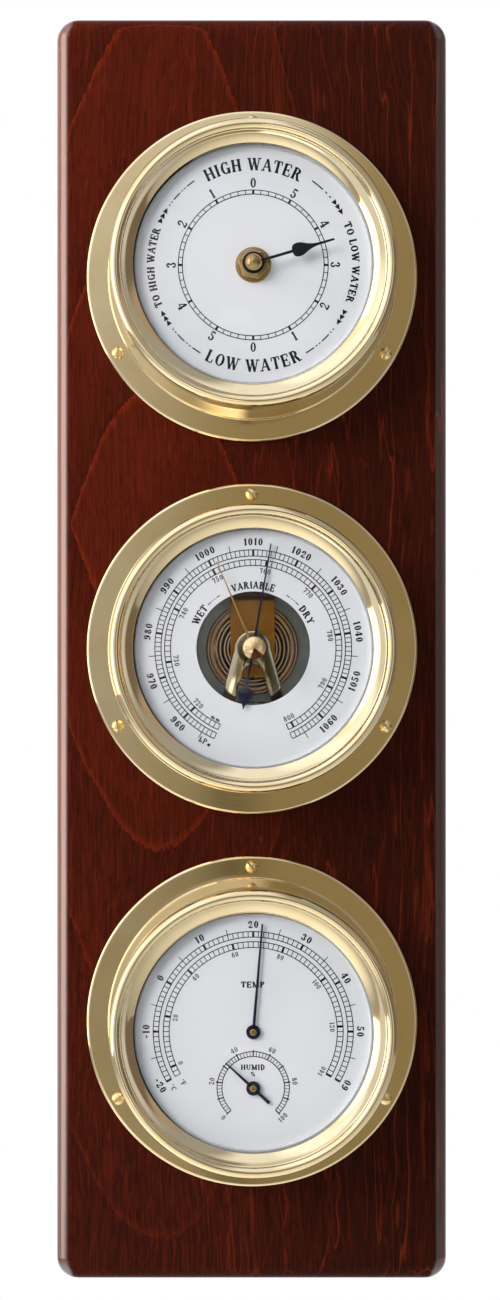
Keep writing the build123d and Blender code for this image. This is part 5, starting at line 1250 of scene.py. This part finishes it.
def print_thermometer_dial():
    """Temperature scales with the humidity scale below."""
    ink = Printing()
    degrees, at_top = 3.0, 20
    end = 40 * degrees
    low, high, long_tick, numbers = 29.0, 30.7, 32.4, 32.9
    ink.track(low, high, end)
    ink.ticks(low, high, -end, degrees, 81)
    ink.ticks(low, long_tick, -35 * degrees, 10 * degrees, 8)
    ink.ticks(low, high + BOLD_OVERRUN, -end, 10 * degrees, 9, BOLD_TICK)
    for celsius in range(-20, 61, 10):
        angle = (celsius - at_top) * degrees
        ink.word(str(celsius), numbers, angle, 2.2, BOLD, is_low(angle), spread=1.1)
    degrees, at_top = degrees / 1.8, 68
    low, high, numbers = 25.8, 27.6, 24.3
    ink.track(low, high, end)
    ink.ticks(low, high, -end, 2 * degrees, 73)
    for fahrenheit in range(0, 141, 20):
        angle = (fahrenheit - at_top) * degrees
        ink.ticks(low, high + BOLD_OVERRUN, angle, width=BOLD_TICK)
        ink.word(str(fahrenheit), numbers, angle, 1.55, LIGHT, is_low(angle))
    ink.word("°C", 30.0, -125, 1.6, BOLD, True)
    ink.word("°F", 26.6, -126, 1.6, BOLD, True)
    ink.flat_word("TEMP", 14.4, 1.8, CAPITALS, 1.15)
    below = (0, HYGRO_CENTRE - CENTRE["thermo"])
    degrees, at_top = 2.7, 50
    end = 50 * degrees
    low, high, bold_high, numbers = 9.6, 11.1, 11.6, 12.9
    ink.track(low, high, end, below)
    ink.ticks(low, high, -end, 2 * degrees, 51, 0.2, below)
    ink.ticks(low, bold_high, -end, 10 * degrees, 11, 0.4, below)
    for percent in range(0, 101, 20):
        angle = (percent - at_top) * degrees
        ink.word(str(percent), numbers, angle, 1.6, LIGHT, is_low(angle), below)
    ink.flat_word("HUMID", below[1] + 6.3, 1.7, CAPITALS)
    ink.flat_word("%", below[1] + 4.2, 1.5, BOLD)
    ink.finish("thermometer_printing", CENTRE["thermo"])


# Tide clock

def tide_hand_shape():
    """Spade hand: round hub, thin stem, round-lobed blade and a long thin tip."""
    low, high = foot_of("tide_hand"), top_of("tide_hand")
    bore, hub, stem, lobe, tip = 1.05, 3.4, 0.42, 2.1, 0.28
    root, shoulder, belly, neck, end = 2.0, 12.4, 14.3, 20.2, 25.7
    right = [(stem, root), (stem, shoulder)]
    right += curve_points((stem, shoulder), (1.5, 12.3), (lobe, 13.1), (lobe, belly))
    right += curve_points((lobe, belly), (lobe, 16.4), (0.8, 16.6), (stem, neck))
    right += [(tip, end)]
    blade = plate(mirrored(right), low, high, 0.1)
    ring = hub_shape(bore, hub, low, high, 0.1, 0.15, 0.1, 96)
    return moved(joined(blade, ring), clockwise(TIDE_HAND_ANGLE))


def hand_cap_shape():
    """Domed cap on the end of the hand's arbor."""
    low, high = foot_of("tide_hand_cap"), top_of("tide_hand_cap")
    radius = reach_of("tide_hand_cap")
    base, chamfer = low + 1.0, 0.15
    dome = [(radius * math.cos(turn), base + (high - base) * math.sin(turn))
            for turn in (math.radians(6 * step) for step in range(15))]
    return lathe([(0, low), (radius - chamfer, low), (radius, low + chamfer)] + dome + [(0, high)], 96)


def nut_shape():
    """Hexagon nut with turned chamfers."""
    corner, first_corner, corner_round, chamfer = reach_of("tide_fixing_nut"), -11, 0.12, 0.4
    turns = [math.radians(first_corner) + math.radians(60 * side) for side in range(6)]
    hexagon = [(corner * math.cos(turn), corner * math.sin(turn), corner_round) for turn in turns]
    return plate(rounded(hexagon, 3), foot_of("tide_fixing_nut"), top_of("tide_fixing_nut"), chamfer)


def washer_shape():
    """Dished washer between nut and dial."""
    low, high = foot_of("tide_fixing_washer"), top_of("tide_fixing_washer")
    radius, seat, bore, dish = reach_of("tide_fixing_washer"), 4.6, 3.4, 0.1
    return lathe(rounded([(bore, low, 0), (radius, low, dish), (radius, high - dish, EDGE_ROUND),
                          (seat, high, EDGE_ROUND), (bore, high, 0)]), 128)


def add_tide_clock():
    """Hand, cap, nut and washer over the printed dial."""
    add_common_pieces("tide", TIDE_DIAL_HOLE)
    print_tide_dial()
    for name, shape, slot, body, node in (
            ("spade_hand", tide_hand_shape(), "black_enamel", "tide_hand_set", "hand"),
            ("domed_cap", hand_cap_shape(), "fitting_brass", "tide_hand_set", "hand_cap"),
            ("hexagon_nut", nut_shape(), "fitting_brass", FRAME_BODY, "fixing_nut"),
            ("dished_washer", washer_shape(), "fitting_brass", FRAME_BODY, "fixing_washer")):
        add_piece(f"tide_{name}", shape, CENTRE["tide"], slot, body, f"tide_{node}")


# Barometer

def baro_pointer_shape():
    """Thin pointer with a hub and a spade tail."""
    low, high = foot_of("baro_pointer"), top_of("baro_pointer")
    bevel, stem, lobe, point = 0.06, 0.35, 2.1, 0.1
    shoulder, belly, end = -12.2, -14.4, -19.0
    blade = plate(mirrored([(0.2, 32.5), (0.34, 8.0), (0.5, 1.8)]), low, high, bevel)
    tail = [(0.4, -1.8), (stem, shoulder)]
    tail += curve_points((stem, shoulder), (1.5, shoulder), (lobe, -13.2), (lobe, belly), 8)
    tail += curve_points((lobe, belly), (lobe, -16.2), (0.6, -16.4), (point, end), 10)
    spade = plate(mirrored(tail), low, high, bevel)
    return moved(joined(blade, spade, hub_shape(0.5, 2.0, low, high)), clockwise(BARO_POINTER_ANGLE))


def set_hand_shape():
    """Gilt set hand, a thin strip with a small hub under the glass."""
    low, high = foot_of("baro_set_hand"), top_of("baro_set_hand")
    blade = plate(mirrored([(0.17, 28.8), (0.3, 6.0), (0.5, 2.0)]), low, high, 0.05)
    return moved(joined(blade, hub_shape(0.8, 2.3, low, high)), clockwise(SET_HAND_ANGLE))


def set_knob_shape():
    """Turned knob with a cone on its face and a round rim."""
    low, high = foot_of("baro_set_knob"), top_of("baro_set_knob")
    radius, stem = reach_of("baro_set_knob"), 0.8
    head = high - 5.0
    return lathe(rounded([
        (0, low, 0), (stem, low, 0), (stem, head, 0), (radius - 0.4, head, 0.2), (radius, head + 0.6, 0.3),
        (radius, high - 1.5, 0.3), (radius - 0.3, high - 1.1, 0.15), (0, high, 0)]), 128)


def capsule_shape():
    """Rippled capsule with a rolled rim, its foot and its post."""
    radius = reach_of("baro_capsule")
    foot, tip = foot_of("baro_capsule"), top_of("baro_capsule")
    low, top, strap = 4.0, 9.5, 12.5
    foot_radius, post, boss, rim_radius = 3.0, 0.9, 1.5, 0.65
    start, finish, waves, steps = 2.6, radius - 2.0, 4, 64
    boss_top, wave_floor, wave_height = top - 0.2, top - 0.45, 0.4
    gutter_floor, under_round = top - 1.3, 0.6
    ripples = [(boss, boss_top), (start, boss_top)]
    for step in range(steps + 1):
        swell = 0.5 + 0.5 * math.cos(2 * math.pi * waves * step / steps)
        ripples.append((start + (finish - start) * step / steps, wave_floor + wave_height * swell))
    gutter = [(radius - 1.8, gutter_floor), (radius - 1.45, gutter_floor)]
    rim = arc_points(radius - rim_radius, top - rim_radius, rim_radius, 160, 0, 10)
    under = [(radius, low + under_round), (radius - under_round, low), (foot_radius, low),
             (foot_radius, foot), (0, foot)]
    return lathe([(0, tip), (post, tip), (post, strap), (boss, strap)] + ripples + gutter + rim + under, 160)


def bridge_shape():
    """A-shaped bridge whose legs fall away from its head, with the cock below."""
    high = top_of("baro_bridge")
    foot = low_corner("baro_bridge").z - CENTRE["baro"] + BRIDGE_PILLAR_RADIUS
    shoulder = -BRIDGE_ARCH_DROP - BRIDGE_ARCH_RADIUS
    half_leg = BRIDGE_LEG_WIDTH / 2
    head = arc_points(0, 0, BRIDGE_HEAD_RADIUS, 0, 180, 32)
    arch = arc_points(0, shoulder, BRIDGE_ARCH_RADIUS, 180 - BRIDGE_FOLD_ANGLE, BRIDGE_FOLD_ANGLE, 20)
    crease = (Vector(arch[-1]) - Vector((BRIDGE_HEAD_RADIUS, 0))).normalized()
    leg = [(BRIDGE_HEAD_RADIUS, 0)] + arc_points(0, shoulder, BRIDGE_ARCH_RADIUS, BRIDGE_FOLD_ANGLE, 0, 8)
    leg += [(BRIDGE_FOOT_SPREAD - half_leg, foot), (BRIDGE_FOOT_SPREAD + half_leg, foot)]

    def face_height(x, y, fall):
        """Height of the leaning plate, less the fall of a leg with the distance from its crease."""
        offset = Vector((abs(x) - BRIDGE_HEAD_RADIUS, y))
        away = abs(offset.x * crease.y - offset.y * crease.x)
        return high - BRIDGE_LEAN * (BRIDGE_HEAD_RADIUS - y) - fall * away

    sheet = bmesh.new()
    sheet.faces.new([sheet.verts.new((x, y, face_height(x, y, 0))) for x, y in head + arch])
    for side in (1, -1):
        outline = [(side * x, y, face_height(x, y, BRIDGE_LEG_FALL)) for x, y in leg[::side]]
        sheet.faces.new([sheet.verts.new(point) for point in outline])
    bmesh.ops.remove_doubles(sheet, verts=sheet.verts, dist=WELD_DISTANCE)
    bmesh.ops.recalc_face_normals(sheet, faces=sheet.faces)
    rim = [edge for edge in sheet.edges if edge.is_boundary]
    raised = bmesh.ops.extrude_face_region(sheet, geom=sheet.faces[:], use_keep_orig=True)
    for corner in raised_corners(raised):
        corner.co.z -= BRIDGE_THICKNESS
    bmesh.ops.recalc_face_normals(sheet, faces=sheet.faces)
    bmesh.ops.bevel(sheet, geom=rim, offset=BRIDGE_EDGE_ROUND, segments=2, affect="EDGES", profile=0.5)
    low = foot_of("baro_bridge")
    corners = ((-1, -1), (1, -1), (1, 1), (-1, 1))
    cock = plate([(x * BRIDGE_HEAD_RADIUS, y * COCK_HALF_WIDTH) for x, y in corners],
                 low, low + COCK_THICKNESS, 0.1)
    under_head = high - BRIDGE_THICKNESS
    post = [(0, low), (COCK_POST_RADIUS, low), (COCK_POST_RADIUS, under_head), (0, under_head)]
    aside = BRIDGE_HEAD_RADIUS - COCK_POST_RADIUS
    posts = [moved(lathe(post, 24), Matrix.Translation((side * aside, 0, 0))) for side in (-1, 1)]
    return joined(sheet, cock, *posts)


def chain_shape():
    """Fine chain of oval links between the drum and the rocker's arm."""
    low, length = low_corner("baro_chain").z, high_corner("baro_chain").z - low_corner("baro_chain").z
    count = round(length / CHAIN_PITCH)
    links = grown(RUN_OF_LINKS, Count=count, Pitch=length / count, Link_Radius=CHAIN_LINK_RADIUS,
                  Wire_Radius=CHAIN_WIRE_RADIUS, Material=FINISH["arbor_steel"])
    height = (top_of("baro_chain") + foot_of("baro_chain")) / 2
    return moved(links, Matrix.Translation((middle("baro_chain").x, low - CENTRE["baro"], height)))


def add_barometer():
    """Movement that shows through the dial, its pointer, set hand and knob."""
    add_common_pieces("baro", BARO_DIAL_OPENING, BARO_GLASS_HOLE)
    print_barometer_dial()
    for name, shape, slot, body, node, finish in (
            ("pointer_blade", baro_pointer_shape(), "black_enamel", "baro_pointer_set", "pointer", BLUED),
            ("set_hand_strip", set_hand_shape(), "gilt_brass", "baro_set_hand_set", "set_hand", None),
            ("turned_knob", set_knob_shape(), "gilt_brass", "baro_set_hand_set", "set_knob", SPUN_KNOB),
            ("rippled_capsule", capsule_shape(), "capsule_metal", FRAME_BODY, "capsule", None),
            ("folded_bridge", bridge_shape(), "bridge_brass", FRAME_BODY, "bridge", None),
            ("link_chain", chain_shape(), "arbor_steel", "baro_chain_run", "chain", None)):
        add_piece(f"baro_{name}", shape, CENTRE["baro"], slot, body, f"baro_{node}", finish)


# Thermometer and hygrometer

def needle_shape(node, angle, length, tip, tail=0, tail_width=0):
    """Tapered needle with a round hub and, where it has one, a tail."""
    root, bore, hub, thickness = 0.9, 0.8, 2.2, 0.4
    low = foot_of(node)
    high = low + thickness
    under_hub = hub * 0.8
    right = [(tip / 2, length), (root / 2, under_hub), (root / 2, 0)]
    if tail:
        right += [(root / 2, -under_hub), (tail_width / 2, -tail)]
    blade = plate(mirrored(right), low, high, 0.05)
    boss = hub_shape(bore, hub, low, high, top_round=0.12, steps=72)
    return moved(joined(blade, boss), clockwise(angle))


def eyelet_shape(node):
    """Small brass eyelet that rivets a needle to its arbor."""
    radius, crown, edge, length, fall = 1.0, 0.6, 0.1, 0.5, 0.15
    high = top_of(node)
    low = high - length
    return lathe(rounded([(0, low, 0), (radius, low, 0), (radius, high - fall, edge), (crown, high, edge),
                          (0, high, 0)]), 48)


def add_thermometer():
    """Two needles over the printed dial, each with its eyelet."""
    add_common_pieces("thermo", THERMO_DIAL_HOLE)
    print_thermometer_dial()
    centres = {"thermo": CENTRE["thermo"], "hygro": HYGRO_CENTRE}
    needles = {
        "thermo": needle_shape("thermo_pointer", THERMO_NEEDLE_ANGLE, length=33.2, tip=0.55),
        "hygro": needle_shape("hygro_pointer", HYGRO_NEEDLE_ANGLE, length=11.5, tip=0.4, tail=6.7,
                              tail_width=1.1)}
    for name, needle in needles.items():
        add_piece(f"{name}_needle", needle, centres[name], "black_enamel", f"{name}_pointer_set",
                  f"{name}_pointer", BLUED)
    for name, centre in centres.items():
        eyelet = eyelet_shape(f"{name}_arbor")
        add_piece(f"{name}_eyelet", eyelet, centre, "gilt_brass", f"{name}_pointer_set")


add_tide_clock()
add_barometer()
add_thermometer()

# Finishes of the CAD nodes that show as they are

for subpart in frame["record"]["subparts"]:
    materials = frame["nodes"][subpart["node"]].data.materials
    materials.clear()
    materials.append(FINISH[subpart["material_slot"]])

# Camera, light and stage

CAMERA_PLACE = Vector((-14.4, -820.0, CENTRE["baro"] - 6.3)) * MM
CAMERA_LENS = 69.97
CAMERA_SHIFT = (0.0335, 0.0144)
AMBIENT_LEVEL = 0.43
WHITE_LEVEL = 1.0
DARK_UPRIGHT_PLACE = 0.009
DAYLIGHT = (1.0, 1.0, 1.0, 1.0)
WARM_WALL = (1.0, 0.845, 0.51, 1.0)
COOL_WALL = (0.88, 0.94, 1.1, 1.0)
SIDE_WALL = (1.0, 0.84, 0.74, 1.0)
FLOOR_HEIGHT = -1.2
FLOOR_REACH = 3.0


def add_camera():
    """Camera at the photograph's place, looking straight at the wall."""
    camera = bpy.data.cameras.new("camera")
    camera.lens = CAMERA_LENS
    camera.shift_x, camera.shift_y = CAMERA_SHIFT
    viewer = bpy.data.objects.new("camera", camera)
    viewer.location = CAMERA_PLACE
    viewer.rotation_euler = (math.radians(90), 0, 0)
    SCENE.collection.objects.link(viewer)
    SCENE.camera = viewer
    SCENE.view_settings.view_transform = "Standard"


def add_lamp(name, place, size, power):
    """Soft square lamp aimed at the middle instrument; its place from there and size in metres, in watts."""
    lamp = bpy.data.lights.new(name, "AREA")
    lamp.size = size
    lamp.energy = power
    holder = bpy.data.objects.new(name, lamp)
    holder.location = Vector(place) + Vector((0, 0, CENTRE["baro"] * MM))
    holder.rotation_euler = (-Vector(place)).to_track_quat("-Z", "Y").to_euler()
    holder.visible_glossy = False
    holder.visible_transmission = False
    SCENE.collection.objects.link(holder)


def light_studio():
    """White surroundings, with bright and dark sides for the metal to mirror, and two soft lamps."""
    world = bpy.data.worlds.new("studio")
    world.use_nodes = True
    SCENE.world = world
    nodes = Wiring(world.node_tree)
    ray = nodes.add("ShaderNodeLightPath").outputs
    glossy = ray["Is Glossy Ray"]
    way = nodes.axes(nodes.add("ShaderNodeTexCoord").outputs["Generated"])
    across, up = way["X"], way["Z"]
    off_level = nodes.size(up)
    off_middle = nodes.size(across)
    off_upright = nodes.size(nodes.minus(across, DARK_UPRIGHT_PLACE))

    def edge(value, outside, inside, low=0.0, high=1.0):
        """Soft passage from a low level outside to a high level inside."""
        return nodes.ramp(value, outside, inside, low, high, "SMOOTHSTEP")

    def area(*edges):
        """Mask of what lies inside several soft edges."""
        return nodes.times(*[edge(*given) for given in edges])

    right = edge(across, -0.05, 0.02)
    far_up_or_down = edge(off_level, 0.28, 0.5)
    upper_middle = area((up, 0.12, 0.22), (across, 0.07, 0.03))
    upper = (up, 0.08, 0.25)
    lamp_edges = ((across, 0.01, -0.03), (across, -0.26, -0.2), (up, -0.2, -0.23), (up, -0.36, -0.3))
    room = nodes.level(right, edge(up, -0.2, 0.25, 0.37, 0.7), 0.33)
    for mask, level in (
            # Upper middle, left, right, far up and down, then upper left, upper right and lower right
            (upper_middle, 0.82),
            (edge(across, -0.1, -0.25), 1.0),
            (edge(across, 0.2, 0.4), 0.85),
            (nodes.greater(far_up_or_down, edge(up, -0.22, -0.4)), 1.3),
            (area((across, -0.09, -0.25), upper), 1.7),
            (area((across, 0.1, 0.28), upper), 0.5),
            (area((across, 0.1, 0.28), (up, -0.08, -0.25)), 0.65),
            # Dark screen at the right, low lamp, dark upright in front, window at the left
            (area((across, 0.5, 0.62), (off_level, 0.4, 0.24)), 0.22),
            (area(*lamp_edges), 2.6),
            (area((off_upright, 0.012, 0.005), (up, -0.025, -0.045), (up, -0.26, -0.22)), 0.12),
            (area((across, -0.62, -0.72), (off_level, 0.6, 0.5)), 3.8)):
        room = nodes.level(mask, room, level)
    behind = edge(across, 0.3, 0.6, 1.0, 0.3)
    reflected = nodes.level(edge(way["Y"], -0.15, 0.1), room, behind)
    seen = nodes.greater(ray["Is Camera Ray"], ray["Is Transmission Ray"])
    strength = nodes.level(glossy, nodes.level(seen, AMBIENT_LEVEL, WHITE_LEVEL), reflected)
    warm = nodes.greater(nodes.times(right, edge(across, 0.4, 0.2)), edge(up, 0.08, -0.2, 0.0, 0.6))
    warm = nodes.times(warm, edge(off_level, 0.3, 0.2), nodes.minus(1.0, upper_middle),
                       edge(across, -0.3, -0.1))
    cool = nodes.greater(far_up_or_down, edge(off_middle, 0.12, 0.3))
    aside = edge(off_middle, 0.5, 0.65)
    tint = DAYLIGHT
    for mask, tone in ((warm, WARM_WALL), (cool, COOL_WALL), (aside, SIDE_WALL)):
        tint = nodes.blend(nodes.times(mask, glossy), tint, tone)
    nodes.feed(nodes.tree.nodes["Background"], Color=tint, Strength=strength)
    add_lamp("key", place=(-1.3, -1.6, 0.7), size=0.9, power=26)
    add_lamp("window", place=(-1.2, 0.08, 0.6), size=0.8, power=55)


def add_floor():
    """Pale floor well below the wall piece."""
    floor_shape = bmesh.new()
    bmesh.ops.create_grid(floor_shape, x_segments=1, y_segments=1, size=FLOOR_REACH)
    mesh = bpy.data.meshes.new("floor")
    floor_shape.to_mesh(mesh)
    floor_shape.free()
    floor = bpy.data.objects.new("floor", mesh)
    floor.location = (0, 0, FLOOR_HEIGHT)
    mesh.materials.append(moulded("pale_floor", (240, 240, 240), (236, 236, 236), (0.6, 0.7)))
    SCENE.collection.objects.link(floor)


add_camera()
light_studio()
add_floor()
